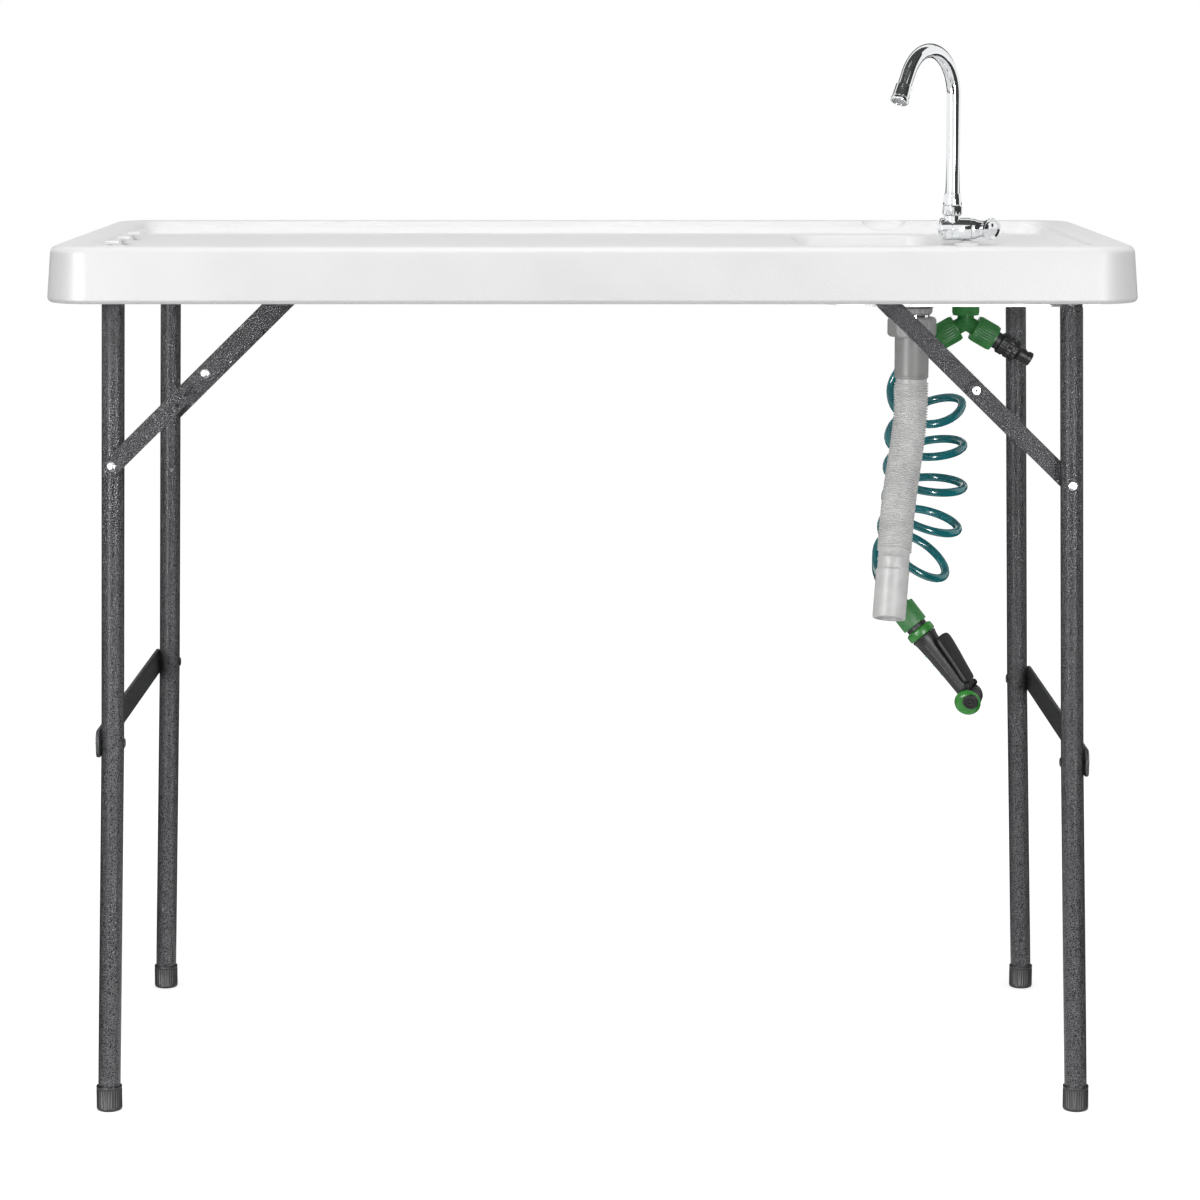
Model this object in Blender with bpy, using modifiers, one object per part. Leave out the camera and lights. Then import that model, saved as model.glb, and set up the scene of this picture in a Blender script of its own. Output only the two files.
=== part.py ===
"""Folding camp sink table with swan-neck faucet, drain hose, coil hose and spray gun.

Blender 4.5, metres, +Z up. The origin is on the floor under the middle of the table,
+X points to the sink end and -Y to the front. Run with: blender --background --python part.py
"""
import math

import bmesh
import bpy
from mathutils import Matrix, Vector

# Clearances
FIT = 0.0003              # gap between touching pieces
HOLE_FIT = 0.0002         # radial room of a pin or tail in its hole

# Tabletop
TOP_LENGTH = 1.155
TOP_WIDTH = 0.594
TOP_HEIGHT = 0.940
SKIRT_HEIGHT = 0.060
SKIRT_WALL = 0.005
SKIRT_DRAFT = 0.0037      # how far the sides lean in from bottom to top
TOP_CORNER = 0.048        # plan radius of the corners
TOP_EDGE = 0.008          # radius along the top edge
BOTTOM_EDGE = 0.005
CEILING_DROP = 0.020      # underside of the panel below the rim
RIM_X = 0.040
RIM_Y = 0.0350
RECESS_DEPTH = 0.0145
RECESS_CORNER = 0.030
RECESS_SLOPE = 0.007
PAD_PITCH = 0.105         # three small pads moulded on the left end of the recess
PAD_SIZE = (0.009, 0.017, 0.0045)
PAD_DROP = 0.0068         # from the rim to a pad's middle
SCOOP_FROM_SIDE = 0.047   # dished scoop in the rear wall, from the basin's faucet side
SCOOP_SIZE = (0.026, 0.014, 0.0135)
UNDER_RIB = (0.012, 0.008)
UNDER_RIB_INSET = 0.1175  # from the left end
UNDER_RIB_GAP = 0.075     # from the basin
UNDER_RIB_PITCH = 0.105
UNDER_RIB_COUNT = 3

# Sink basin
BASIN_INSET = 0.1825      # from the right end to the basin's faucet side
BASIN_LENGTH = 0.160
BASIN_LEG_ROOM = 0.035    # from the basin to the leg centres
BASIN_DEPTH = 0.0625      # from the rim to the basin floor
BASIN_WALL = 0.004
BASIN_CORNER = 0.030
BASIN_FILLET = 0.010
BASIN_SLOPE = 0.004
WELL_R = 0.0275           # sunk round the drain, for the strainer
WELL_DEPTH = 0.0115

# Leg frames
LEG_INSET = 0.042         # from the long edges to the leg centres
PIVOT_INSET = 0.0705      # from the ends
PIVOT_LEFT_DROP = 0.035   # below the rim; this frame folds first
PIVOT_RIGHT_DROP = 0.056
TUBE_R = 0.0122
TUBE_WALL = 0.0012
TUBE_TOP = 0.0075         # tube end above the pivot
UPPER_SPLAY = math.radians(1.0)
LOWER_SPLAY = math.radians(1.5)
ROD_R = 0.005
ROD_HEAD_R = 0.008
ROD_HEAD = 0.0022
CROSSBAR_DROP = 0.500     # from the pivot, clear of the hanging spray gun
CROSSBAR_HEIGHT = 0.030
CROSSBAR_THICK = 0.004
CROSSBAR_OVERHANG = 0.0125
FOOT_R = 0.014
FOOT_HEIGHT = 0.027
FOOT_SOLE = 0.0045
FOOT_RIBS = 2

# Braces
BRACE_REACH = 0.1995      # from the pivot to the leg rivet, and from the pivot to the rail pin
LINK_WIDTH = 0.0195
LINK_THICK = 0.002
LINK_GAP = 0.0005         # from the tube to the lower link
RIVET_R = 0.003
RIVET_HEAD_R = 0.0052
RIVET_HEAD = 0.0020
HEAD_ROOM = 0.0009        # from a rivet's seat height to the link above, besides the head
TONGUE_LONG = 0.034       # upper link past the knee, on the corner side
TONGUE_SHORT = 0.020
KNEE_BOSS_R = 0.006
DIMPLE_BACK = 0.046       # small hole in the lower link, measured from the knee
DIMPLE_R = 0.0016

# Rails
RAIL_INSET = 0.037        # from the ends
RAIL_LENGTH = 0.2817
RAIL_THICK = 0.002
RAIL_GAP = 0.0013         # from the upper link's outer face plus rivet head
RAIL_LEFT_LIP = 0.0085    # flange below the pivot
RAIL_RIGHT_LIP = 0.0110
WEB_LEFT = 0.0095
WEB_RIGHT = 0.0078

# Drain
DRAIN_FROM_SIDE = 0.0395  # from the basin's faucet side
DRAIN_Y = -0.060
DRAIN_HOLE_R = 0.0205
STRAINER_R = 0.0240
STRAINER_FLANGE = 0.0015
STRAINER_HOLES = 6
STRAINER_HOLE_R = 0.0028
STRAINER_HOLE_RING = 0.0085
TAIL_R = 0.0195
TAIL_BORE = 0.0170
TAIL_LENGTH = 0.034
GASKET_R = 0.0245
GASKET_THICK = 0.0016
LOCKNUT_R = 0.0229
LOCKNUT_HEIGHT = 0.0078
UNION_TOP_DROP = 0.0131   # from the basin's underside
UNION_HEIGHT = 0.0212
UNION_R = 0.0262
UNION_RIBS = 8
CUFF_R = 0.0190
CUFF_WALL = 0.0022
CUFF_HEIGHT = 0.0468
HOSE_CREST_R = 0.0193
HOSE_GROOVE_R = 0.0179
HOSE_BORE_R = 0.0152
HOSE_RIBS = 54
RIB_PITCH = 0.0036
HOSE_NECK_R = 0.0164
HOSE_NECK = 0.019
OUTLET_R = 0.0188
HOSE_START = 0.0048       # plain stretch before the first rib
DRAIN_ROUTE = (           # from the upper cuff's lower end
    (0.0000, 0.0000, -0.0005), (-0.0002, -0.0002, -0.0209), (-0.0009, -0.0012, -0.0429),
    (-0.0050, -0.0080, -0.0759), (-0.0118, -0.0200, -0.1159), (-0.0170, -0.0330, -0.1509),
    (-0.0210, -0.0460, -0.1889), (-0.0247, -0.0585, -0.2249), (-0.0282, -0.0700, -0.2609),
)

# Faucet
FAUCET_INSET = 0.156      # from the right end
SPOUT_OFFSET = 0.0166     # towards the basin
TAP_RISE = 0.0038         # the body's axis above the rim
TAP_R = 0.0127
TAP_ENDS = (-0.0334, 0.0039)      # from the tail's axis
DECK_HOLE_R = 0.0105
BASE_TAIL_R = 0.0100
BASE_TAIL_DROP = 0.0885   # below the rim
BASE_FLANGE_R = 0.0150
BASE_FLANGE = 0.003
BASE_NECK_R = 0.0068
MOUNT_NUT_R = 0.0160
MOUNT_NUT_HEIGHT = 0.0080
BOSS_R = 0.0095
BOSS_RISE = 0.0152        # above the body's axis
SPOUT_NUT_R = 0.0115
SPOUT_NUT_STEPS = (0.0130, 0.0255)    # shoulder and top above the boss
SPOUT_NUT_TOP_R = 0.0096
SPOUT_R = 0.0080
SPOUT_WALL = 0.0010
SPOUT_ARC_R = 0.0500
SPOUT_ARC_RISE = 0.1502   # the arc's centre above the body's axis
SPOUT_SWEEP = math.radians(150)
SPOUT_TURN = math.radians(52)    # swung from the basin towards the front, as in the photo
SPOUT_DROP = 0.020
AERATOR_R = 0.0097
AERATOR_LENGTH = 0.0200
AERATOR_RING_R = 0.0104
SCREEN_R = 0.0082
HANDLE_LENGTH = 0.0353
HANDLE_R = (0.0116, 0.0088, 0.0126)
CAP_R = 0.0098

# Y-splitter
JUNCTION_DROP = 0.0130    # below the faucet's tail
BRANCH_ANGLE = math.radians(30)
HUB_R = 0.0094
BRANCH_R = 0.0088
BRANCH_END = 0.0360
TOP_NUT_R = 0.0154
TOP_NUT = (0.0082, 0.0335)        # ends above the junction
OUT_NUT_R = 0.0150
OUT_NUT = (0.0115, 0.0380)
ADAPTOR_R = (0.0124, 0.0079)
ADAPTOR_STEP = 0.0290
ADAPTOR_END = 0.0855

# Coil hose
COIL_R = 0.0400
COIL_TUBE_R = 0.00475
COIL_LOOPS = 5
COIL_LOOP_POINTS = 24
COIL_CENTRE = (-0.0427, 0.0150, -0.0840)      # its top, from the splitter's junction
COIL_BULGE = 0.0040       # how much wider the middle loops are
COIL_SHIFT = -0.0200      # how far the last loops hang to the left
COIL_SHRINK = 0.0050      # how much smaller the last loop is
COIL_SHIFT_FROM = 2.6     # loops down to where both start
COIL_PITCH = 0.0411
COIL_FRONT_DROP = (0.0205, 0.0130, 0.0330)    # front strands hang lower: top, middle, bottom
COIL_SIDE_TILT = (0.0150, -0.0182)
FEED_POINTS = 9
TAIL_POINTS = 9
BOOT_LENGTH = 0.058
BOOT_R = 0.0062

# Spray gun, measured along its axis from the hose end
GUN_TOP = (-0.0795, -0.0800, -0.3090)         # from the splitter's junction
GUN_AXIS = (0.610, -0.200, -0.780)
LEVER_SIDE = (0.760, -0.650, 0.0)
NOZZLE_WAY = (-0.280, -0.900, -0.320)
CONNECTOR_R = 0.0108
CONNECTOR_NECK_R = 0.0122
SLEEVE_R = 0.0150
SLEEVE = (0.0040, 0.0310)
COLLAR_R = 0.0160
COLLAR = (0.0355, 0.0455)
GUN_BODY = (0.0458, 0.1205)
GUN_BODY_SHAPE = ((0.0, 0.0150), (0.09, 0.0134), (0.34, 0.0118), (0.70, 0.0104), (1.0, 0.0097))
HEAD_AT = 0.1305
HEAD_R = 0.0136
HEAD_BACK = 0.0125
HEAD_FRONT = 0.0110
NOZZLE_R = 0.0148
NOZZLE_LENGTH = 0.0100
LEVER_PIVOT = (0.0130, 0.1205)   # off the axis, along the axis
LEVER_TIP = (0.0222, 0.0585)
LEVER_THICK = 0.0050
LEVER_WIDTH = 0.0185
LEVER_ROOT_WIDTH = 0.0110
LEVER_BOW = 0.0010
LEVER_KNUCKLE_R = 0.0036
LEVER_PIN_R = 0.0014
KNUCKLE_HALF = 0.0040
EAR_THICK = 0.0026
EAR_R = 0.0036

# Levels that follow from the sizes above
SKIRT_BOTTOM = TOP_HEIGHT - SKIRT_HEIGHT
CEILING = TOP_HEIGHT - CEILING_DROP
FLOOR_Z = TOP_HEIGHT - RECESS_DEPTH
BASIN_FLOOR = TOP_HEIGHT - BASIN_DEPTH
BASIN_UNDER = BASIN_FLOOR - BASIN_WALL
WELL_FLOOR = BASIN_FLOOR - WELL_DEPTH
WELL_UNDER = WELL_FLOOR - BASIN_WALL
TAP_Z = TOP_HEIGHT + TAP_RISE
BOSS_TOP = TAP_Z + BOSS_RISE
BASE_TAIL_END = TOP_HEIGHT - BASE_TAIL_DROP
JUNCTION_Z = BASE_TAIL_END - JUNCTION_DROP

# Places that follow from the tabletop's ends and edges
END_X = TOP_LENGTH / 2
LEG_Y = TOP_WIDTH / 2 - LEG_INSET
PIVOT_X = END_X - PIVOT_INSET
RAIL_X = (END_X - RAIL_INSET - RAIL_LENGTH, END_X - RAIL_INSET)
BASIN_X = (END_X - BASIN_INSET - BASIN_LENGTH, END_X - BASIN_INSET)
BASIN_HALF_Y = LEG_Y - BASIN_LEG_ROOM
SCOOP_X = BASIN_X[1] - SCOOP_FROM_SIDE
DRAIN_X = BASIN_X[1] - DRAIN_FROM_SIDE
UNDER_RIB_X = (-END_X + UNDER_RIB_INSET, BASIN_X[0] - UNDER_RIB_GAP)
FAUCET_X = END_X - FAUCET_INSET
SPOUT_X = FAUCET_X - SPOUT_OFFSET
TAP_X = (FAUCET_X + TAP_ENDS[0], FAUCET_X + TAP_ENDS[1])
HANDLE_X = (TAP_X[1] + FIT, TAP_X[1] + FIT + HANDLE_LENGTH)
LEFT, RIGHT = -1, 1
FRONT, REAR = -1, 1
SIDE_NAMES = {LEFT: "left", RIGHT: "right"}
PIVOT_Z = {LEFT: TOP_HEIGHT - PIVOT_LEFT_DROP, RIGHT: TOP_HEIGHT - PIVOT_RIGHT_DROP}
END_NAMES = {FRONT: "front", REAR: "rear"}


# Scene and materials

def clear_scene():
    for old in list(bpy.data.objects):
        bpy.data.objects.remove(old, do_unlink=True)


def new_collection(name):
    found = bpy.data.collections.get(name) or bpy.data.collections.new(name)
    if name not in bpy.context.scene.collection.children:
        bpy.context.scene.collection.children.link(found)
    return found


def linear(channel):
    return channel / 12.92 if channel <= 0.04045 else ((channel + 0.055) / 1.055) ** 2.4


def material(name, colour, roughness, metallic=0.0):
    found = bpy.data.materials.get(name)
    if found:
        return found
    made = bpy.data.materials.new(name)
    made.use_nodes = True
    shader = made.node_tree.nodes["Principled BSDF"]
    rgb = [linear(int(colour[i:i + 2], 16) / 255) for i in (1, 3, 5)]
    shader.inputs["Base Color"].default_value = (*rgb, 1)
    shader.inputs["Roughness"].default_value = roughness
    shader.inputs["Metallic"].default_value = metallic
    made.diffuse_color = (*rgb, 1)
    return made


def white_plastic():
    return material("white_hdpe", "#f3f3f2", 0.45)


def grey_paint():
    return material("grey_hammertone_paint", "#4b4b4d", 0.42, 0.3)


def black_rubber():
    return material("black_rubber", "#29292a", 0.75)


def zinc():
    return material("zinc_plated_steel", "#c9ccd0", 0.3, 1.0)


def chrome():
    return material("chrome_plate", "#e6e8ea", 0.06, 1.0)


def green_plastic():
    return material("green_abs", "#2c7a3a", 0.35)


def black_plastic():
    return material("black_nylon", "#1d1e20", 0.4)


def grey_plastic():
    return material("grey_pvc", "#9a9a99", 0.5)


def pale_plastic():
    return material("pale_grey_pe", "#dcdcda", 0.5)


def teal_plastic():
    return material("teal_polyurethane", "#17686e", 0.25)


# Making and joining shapes

def add_object(name, data, finish=None, cutter=False):
    made = bpy.data.objects.new(name, data)
    (CUTTERS if cutter else PARTS).objects.link(made)
    if cutter:
        made.hide_render = True
        made.display_type = "WIRE"
    if finish:
        data.materials.clear()
        data.materials.append(finish)
    return made


def evaluated_mesh(source):
    bpy.context.view_layer.update()
    graph = bpy.context.evaluated_depsgraph_get()
    return bpy.data.meshes.new_from_object(source.evaluated_get(graph), depsgraph=graph)


def to_mesh_object(source):
    """Turn a curve into a closed mesh object of the same name and place."""
    data = evaluated_mesh(source)
    work = bmesh.new()
    work.from_mesh(data)
    bmesh.ops.remove_doubles(work, verts=work.verts, dist=1e-6)
    bmesh.ops.recalc_face_normals(work, faces=work.faces)
    work.to_mesh(data)
    work.free()
    name, finish = source.name, list(source.data.materials)
    place, cutter = source.matrix_world.copy(), source.name in CUTTERS.objects
    bpy.data.objects.remove(source, do_unlink=True)
    made = add_object(name, data, cutter=cutter)
    data.materials.clear()
    for one in finish:
        data.materials.append(one)
    made.matrix_world = place
    return made


def smooth(target, angle=35):
    target.data.shade_smooth()
    target.data.set_sharp_from_angle(angle=math.radians(angle))
    return target


def boolean(target, cutter, operation="DIFFERENCE"):
    step = target.modifiers.new(cutter.name, "BOOLEAN")
    step.operation = operation
    step.solver = "EXACT"
    step.object = cutter
    return target


def settle(target):
    """Apply every modifier of a mesh object."""
    data = evaluated_mesh(target)
    target.modifiers.clear()
    target.data = data
    return target


def aim(direction, location):
    """A matrix whose Z axis points along direction."""
    turn = Vector(direction).normalized().to_track_quat("Z", "Y")
    return Matrix.Translation(Vector(location)) @ turn.to_matrix().to_4x4()


def turned(name, profile, finish=None, place=None, steps=16, closed=False, cutter=False):
    """A turned solid. The profile runs down its outer side as (radius, height) pairs."""
    data = bpy.data.meshes.new(name)
    edges = [(i, i + 1) for i in range(len(profile) - 1)]
    if closed:
        edges.append((len(profile) - 1, 0))
    data.from_pydata([(r, 0, z) for r, z in profile], edges, [])
    made = add_object(name, data, finish, cutter)
    screw = made.modifiers.new("turn", "SCREW")
    screw.steps = screw.render_steps = steps
    screw.use_merge_vertices = True
    screw.merge_threshold = 1e-6
    screw.use_smooth_shade = False
    if place is not None:
        made.matrix_world = place
    settle(made)
    return made if cutter else smooth(made)


def rod(name, start, end, radius, finish=None, steps=16, cutter=False):
    """A plain round bar between two points."""
    start, end = Vector(start), Vector(end)
    length = (end - start).length
    profile = [(0, length), (radius, length), (radius, 0), (0, 0)]
    return turned(name, profile, finish, aim(end - start, start), steps, cutter=cutter)


def ring(name, start, end, outer, inner, finish, steps=16, chamfer=0.0):
    """A round sleeve between two points, with its outer edges broken by the chamfer."""
    start, end = Vector(start), Vector(end)
    length = (end - start).length
    profile = [(inner, length), (outer - chamfer, length)]
    if chamfer:
        profile += [(outer, length - chamfer), (outer, chamfer)]
    profile += [(outer - chamfer, 0), (inner, 0)]
    return turned(name, profile, finish, aim(end - start, start), steps, closed=True)


def swept(name, points, radius, finish=None, resolution=6, radii=None, cutter=False):
    """A round tube along a list of points, as a closed mesh."""
    data = bpy.data.curves.new(name, "CURVE")
    data.dimensions = "3D"
    data.bevel_depth = radius
    data.bevel_resolution = resolution
    data.use_fill_caps = True
    line = data.splines.new("POLY")
    line.points.add(len(points) - 1)
    for spot, place in zip(line.points, points):
        spot.co = (*place, 1)
    if radii:
        for spot, wide in zip(line.points, radii):
            spot.radius = wide / radius
    made = to_mesh_object(add_object(name, data, finish, cutter))
    return made if cutter else smooth(made, 50)


def plate(name, outlines, thickness, finish=None, place=None, cutter=False):
    """A flat plate from 2D outlines: the first is its edge, the others are holes."""
    data = bpy.data.curves.new(name, "CURVE")
    data.dimensions = "2D"
    data.fill_mode = "BOTH"
    data.extrude = thickness / 2
    for outline in outlines:
        line = data.splines.new("POLY")
        line.points.add(len(outline) - 1)
        for spot, (x, y) in zip(line.points, outline):
            spot.co = (x, y, 0, 1)
        line.use_cyclic_u = True
    made = add_object(name, data, finish, cutter)
    if place is not None:
        made.matrix_world = place
    return to_mesh_object(made)


def circle(x, y, radius, count=10, start=0.0, sweep=math.tau):
    last = count if sweep < math.tau else count - 1
    return [(x + radius * math.cos(start + sweep * i / count),
             y + radius * math.sin(start + sweep * i / count)) for i in range(last + 1)]


def hole(radius, steps):
    """The radius of a faceted hole that a pin of this radius turns in."""
    return (radius + HOLE_FIT) / math.cos(math.pi / steps)


def rounded_loop(half_x, half_y, corner, segments=4):
    """Points round a rectangle with round corners, anticlockwise."""
    points = []
    for quarter, (sx, sy) in enumerate(((1, 1), (-1, 1), (-1, -1), (1, -1))):
        centre = (sx * (half_x - corner), sy * (half_y - corner))
        points += circle(*centre, corner, segments, quarter * math.pi / 2, math.pi / 2)
    return points


def tray(name, sections, centre=(0, 0), finish=None, cutter=False):
    """A loft through rounded rectangles, each (height, half_x, half_y, corner), from below."""
    work = bmesh.new()
    loops = []
    for height, half_x, half_y, corner in sections:
        outline = rounded_loop(half_x, half_y, corner)
        loops.append([work.verts.new((centre[0] + x, centre[1] + y, height)) for x, y in outline])
    for low, high in zip(loops, loops[1:]):
        for i in range(len(low)):
            j = (i + 1) % len(low)
            work.faces.new((low[i], low[j], high[j], high[i]))
    work.faces.new(list(reversed(loops[0])))
    work.faces.new(loops[-1])
    data = bpy.data.meshes.new(name)
    work.to_mesh(data)
    work.free()
    return add_object(name, data, finish, cutter)


def block(name, low, high, finish=None, cutter=False, bevel=0.0):
    """A box between two corners, its edges rounded by bevel."""
    work = bmesh.new()
    bmesh.ops.create_cube(work, size=1)
    low, high = Vector(low), Vector(high)
    for vert in work.verts:
        vert.co = Vector(((low[i] + high[i]) / 2 + vert.co[i] * (high[i] - low[i]) for i in range(3)))
    if bevel:
        bmesh.ops.bevel(work, geom=work.edges, offset=bevel, segments=2, profile=0.5,
                        affect="EDGES")
    data = bpy.data.meshes.new(name)
    work.to_mesh(data)
    work.free()
    return add_object(name, data, finish, cutter)


def joined(name, pieces):
    """Several separate solids as one object."""
    work = bmesh.new()
    for piece in pieces:
        data = evaluated_mesh(piece)
        data.transform(piece.matrix_world)
        work.from_mesh(data)
    finish = pieces[0].data.materials[0] if pieces[0].data.materials else None
    cutter = pieces[0].name in CUTTERS.objects
    for piece in pieces:
        bpy.data.objects.remove(piece, do_unlink=True)
    data = bpy.data.meshes.new(name)
    work.to_mesh(data)
    work.free()
    made = add_object(name, data, finish, cutter)
    return made if cutter else smooth(made)


def pivot(name, location):
    """An empty on a joint's axis, to which a moving body's pieces are parented."""
    made = bpy.data.objects.new(name, None)
    made.empty_display_size = 0.03
    made.location = location
    PARTS.objects.link(made)
    bpy.context.view_layer.update()
    return made


def carry(parent, pieces):
    for piece in pieces:
        piece.parent = parent
        piece.matrix_parent_inverse = parent.matrix_world.inverted()


# Where the leg frames' joints lie, in the XZ plane

class Side:
    """The joint points of one leg frame and the planes its brace links lie in."""

    def __init__(self, sign):
        self.sign = sign
        self.name = SIDE_NAMES[sign]
        self.pivot = Vector((sign * PIVOT_X, 0, PIVOT_Z[sign]))
        self.outward = 1 if sign == LEFT else -1      # braces outside or inside the legs
        self.leg_rivet = self.along_leg(BRACE_REACH)
        self.rail_pin = self.pivot - Vector((sign * BRACE_REACH, 0, 0))
        self.knee = (self.leg_rivet + self.rail_pin) / 2

    def along_leg(self, distance):
        """A point on the leg's centre line, measured from the pivot."""
        upper = min(distance, CROSSBAR_DROP)
        lower = distance - upper
        across = upper * math.sin(UPPER_SPLAY) + lower * math.sin(LOWER_SPLAY)
        down = upper * math.cos(UPPER_SPLAY) + lower * math.cos(LOWER_SPLAY)
        return self.pivot + Vector((self.sign * across, 0, -down))

    def depth(self, end, offset):
        """The y of a plane, given how far it lies from the leg's centre towards the braces."""
        return end * (LEG_Y + self.outward * offset)


LOWER_LINK = (TUBE_R + LINK_GAP, TUBE_R + LINK_GAP + LINK_THICK)
LINK_STEP = LOWER_LINK[1] + RIVET_HEAD + HEAD_ROOM
UPPER_LINK = (LINK_STEP, LINK_STEP + LINK_THICK)
FLANGE_STEP = UPPER_LINK[1] + RIVET_HEAD + RAIL_GAP
RAIL_FLANGE = (FLANGE_STEP, FLANGE_STEP + RAIL_THICK)


def at_depth(point, y):
    return Vector((point[0], y, point[2]))


def domed_rivet(name, point, side, end, low, high, tail=0.0):
    """A rivet with a domed head that starts at high, and a flat tail head below low."""
    profile = [(0, high + RIVET_HEAD), (RIVET_HEAD_R * 0.62, high + RIVET_HEAD * 0.8),
               (RIVET_HEAD_R, high), (RIVET_R, high)]
    if tail:
        profile += [(RIVET_R, low), (RIVET_HEAD_R, low), (RIVET_HEAD_R, low - tail), (0, low - tail)]
    else:
        profile += [(RIVET_R, low), (0, low)]
    direction = Vector((0, end * side.outward, 0))
    return turned(name, profile, zinc(), aim(direction, at_depth(point, side.depth(end, 0))), 8)


# Tabletop

def make_tabletop():
    half_x, half_y = TOP_LENGTH / 2, TOP_WIDTH / 2

    def inset(height, amount):
        return (height, half_x - amount, half_y - amount, TOP_CORNER - amount)

    flat = SKIRT_DRAFT + TOP_EDGE
    top = tray("tabletop", [
        inset(SKIRT_BOTTOM, BOTTOM_EDGE), inset(SKIRT_BOTTOM + BOTTOM_EDGE * 0.3, BOTTOM_EDGE * 0.3),
        inset(SKIRT_BOTTOM + BOTTOM_EDGE, 0), inset(TOP_HEIGHT - TOP_EDGE, SKIRT_DRAFT),
        inset(TOP_HEIGHT - TOP_EDGE * 0.5, SKIRT_DRAFT + TOP_EDGE * 0.13),
        inset(TOP_HEIGHT - TOP_EDGE * 0.13, SKIRT_DRAFT + TOP_EDGE * 0.5),
        inset(TOP_HEIGHT, flat)], finish=white_plastic())

    bay = tray("cut_bay", [
        inset(SKIRT_BOTTOM - 0.01, SKIRT_WALL), inset(CEILING - 0.006, SKIRT_WALL + SKIRT_DRAFT),
        inset(CEILING, SKIRT_WALL + SKIRT_DRAFT + 0.004)], cutter=True)
    boolean(top, bay)
    settle(top)

    basin_mid = ((BASIN_X[0] + BASIN_X[1]) / 2, 0)
    basin_half = (BASIN_X[1] - BASIN_X[0]) / 2

    def basin_section(height, grow, lean):
        return (height, basin_half + grow - lean, BASIN_HALF_Y + grow - lean, BASIN_CORNER + grow)

    shell = tray("basin_shell", [
        basin_section(BASIN_UNDER, BASIN_WALL - BASIN_FILLET, BASIN_SLOPE),
        basin_section(BASIN_UNDER + BASIN_FILLET * 0.3, BASIN_WALL - BASIN_FILLET * 0.3, BASIN_SLOPE),
        basin_section(BASIN_UNDER + BASIN_FILLET, BASIN_WALL, BASIN_SLOPE),
        basin_section(CEILING + 0.002, BASIN_WALL, 0)], basin_mid, cutter=True)
    boolean(top, shell, "UNION")
    boolean(top, rod("well_shell", (DRAIN_X, DRAIN_Y, WELL_UNDER), (DRAIN_X, DRAIN_Y, BASIN_UNDER + 0.002),
                     WELL_R + BASIN_WALL, steps=24, cutter=True), "UNION")
    ribs = [block(f"under_rib_{i}", (UNDER_RIB_X[0], y - UNDER_RIB[0] / 2, CEILING - UNDER_RIB[1]),
                  (UNDER_RIB_X[1], y + UNDER_RIB[0] / 2, CEILING + 0.002), cutter=True)
            for i, y in enumerate((i - (UNDER_RIB_COUNT - 1) / 2) * UNDER_RIB_PITCH
                                  for i in range(UNDER_RIB_COUNT))]
    boolean(top, joined("under_ribs", ribs), "UNION")
    settle(top)

    recess_x, recess_y = half_x - RIM_X, half_y - RIM_Y
    recess = tray("cut_recess", [
        (FLOOR_Z, recess_x - RECESS_SLOPE, recess_y - RECESS_SLOPE, RECESS_CORNER),
        (FLOOR_Z + 0.003, recess_x - RECESS_SLOPE * 0.6, recess_y - RECESS_SLOPE * 0.6, RECESS_CORNER),
        (TOP_HEIGHT - 0.004, recess_x - RECESS_SLOPE * 0.15, recess_y - RECESS_SLOPE * 0.15,
         RECESS_CORNER),
        (TOP_HEIGHT - 0.0012, recess_x + 0.001, recess_y + 0.001, RECESS_CORNER),
        (TOP_HEIGHT + 0.0008, recess_x + 0.004, recess_y + 0.004, RECESS_CORNER)], cutter=True)
    boolean(top, recess)
    basin = tray("cut_basin", [
        basin_section(BASIN_FLOOR, -BASIN_FILLET, BASIN_SLOPE),
        basin_section(BASIN_FLOOR + BASIN_FILLET * 0.3, -BASIN_FILLET * 0.3, BASIN_SLOPE),
        basin_section(BASIN_FLOOR + BASIN_FILLET, 0, BASIN_SLOPE),
        basin_section(FLOOR_Z - 0.003, 0, 0), basin_section(FLOOR_Z + 0.001, 0.004, 0)],
        basin_mid, cutter=True)
    boolean(top, basin)
    boolean(top, rod("cut_well", (DRAIN_X, DRAIN_Y, WELL_FLOOR), (DRAIN_X, DRAIN_Y, BASIN_FLOOR + 0.003),
                     WELL_R, steps=24, cutter=True))
    settle(top)

    scoop_size = Vector(SCOOP_SIZE)
    scoop_place = Vector((SCOOP_X, recess_y, TOP_HEIGHT))
    work = bmesh.new()
    bmesh.ops.create_uvsphere(work, u_segments=24, v_segments=12, radius=1)
    for vert in work.verts:
        vert.co = Vector((vert.co[i] * scoop_size[i] for i in range(3))) + scoop_place
    data = bpy.data.meshes.new("cut_scoop")
    work.to_mesh(data)
    work.free()
    boolean(top, add_object("cut_scoop", data, cutter=True))

    holes = [rod("hole_drain", (DRAIN_X, DRAIN_Y, WELL_UNDER - 0.01),
                 (DRAIN_X, DRAIN_Y, WELL_FLOOR + 0.01), DRAIN_HOLE_R, cutter=True),
             rod("hole_faucet", (FAUCET_X, 0, CEILING - 0.01), (FAUCET_X, 0, FLOOR_Z + 0.01),
                 DECK_HOLE_R, cutter=True)]
    boolean(top, joined("cut_holes", holes))
    pad_x, pad_z = -recess_x + RECESS_SLOPE * 0.2, TOP_HEIGHT - PAD_DROP
    half = [size / 2 for size in PAD_SIZE]
    pads = [block(f"pad_{i}", (pad_x - half[0], i * PAD_PITCH - half[1], pad_z - half[2]),
                  (pad_x + half[0], i * PAD_PITCH + half[1], pad_z + half[2]),
                  cutter=True, bevel=0.0012) for i in (-1, 0, 1)]
    boolean(top, joined("recess_pads", pads), "UNION")
    top.modifiers.new("join_corners", "WELD").merge_threshold = 0.00001
    settle(top)
    return smooth(top, 30)


# Rails

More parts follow.
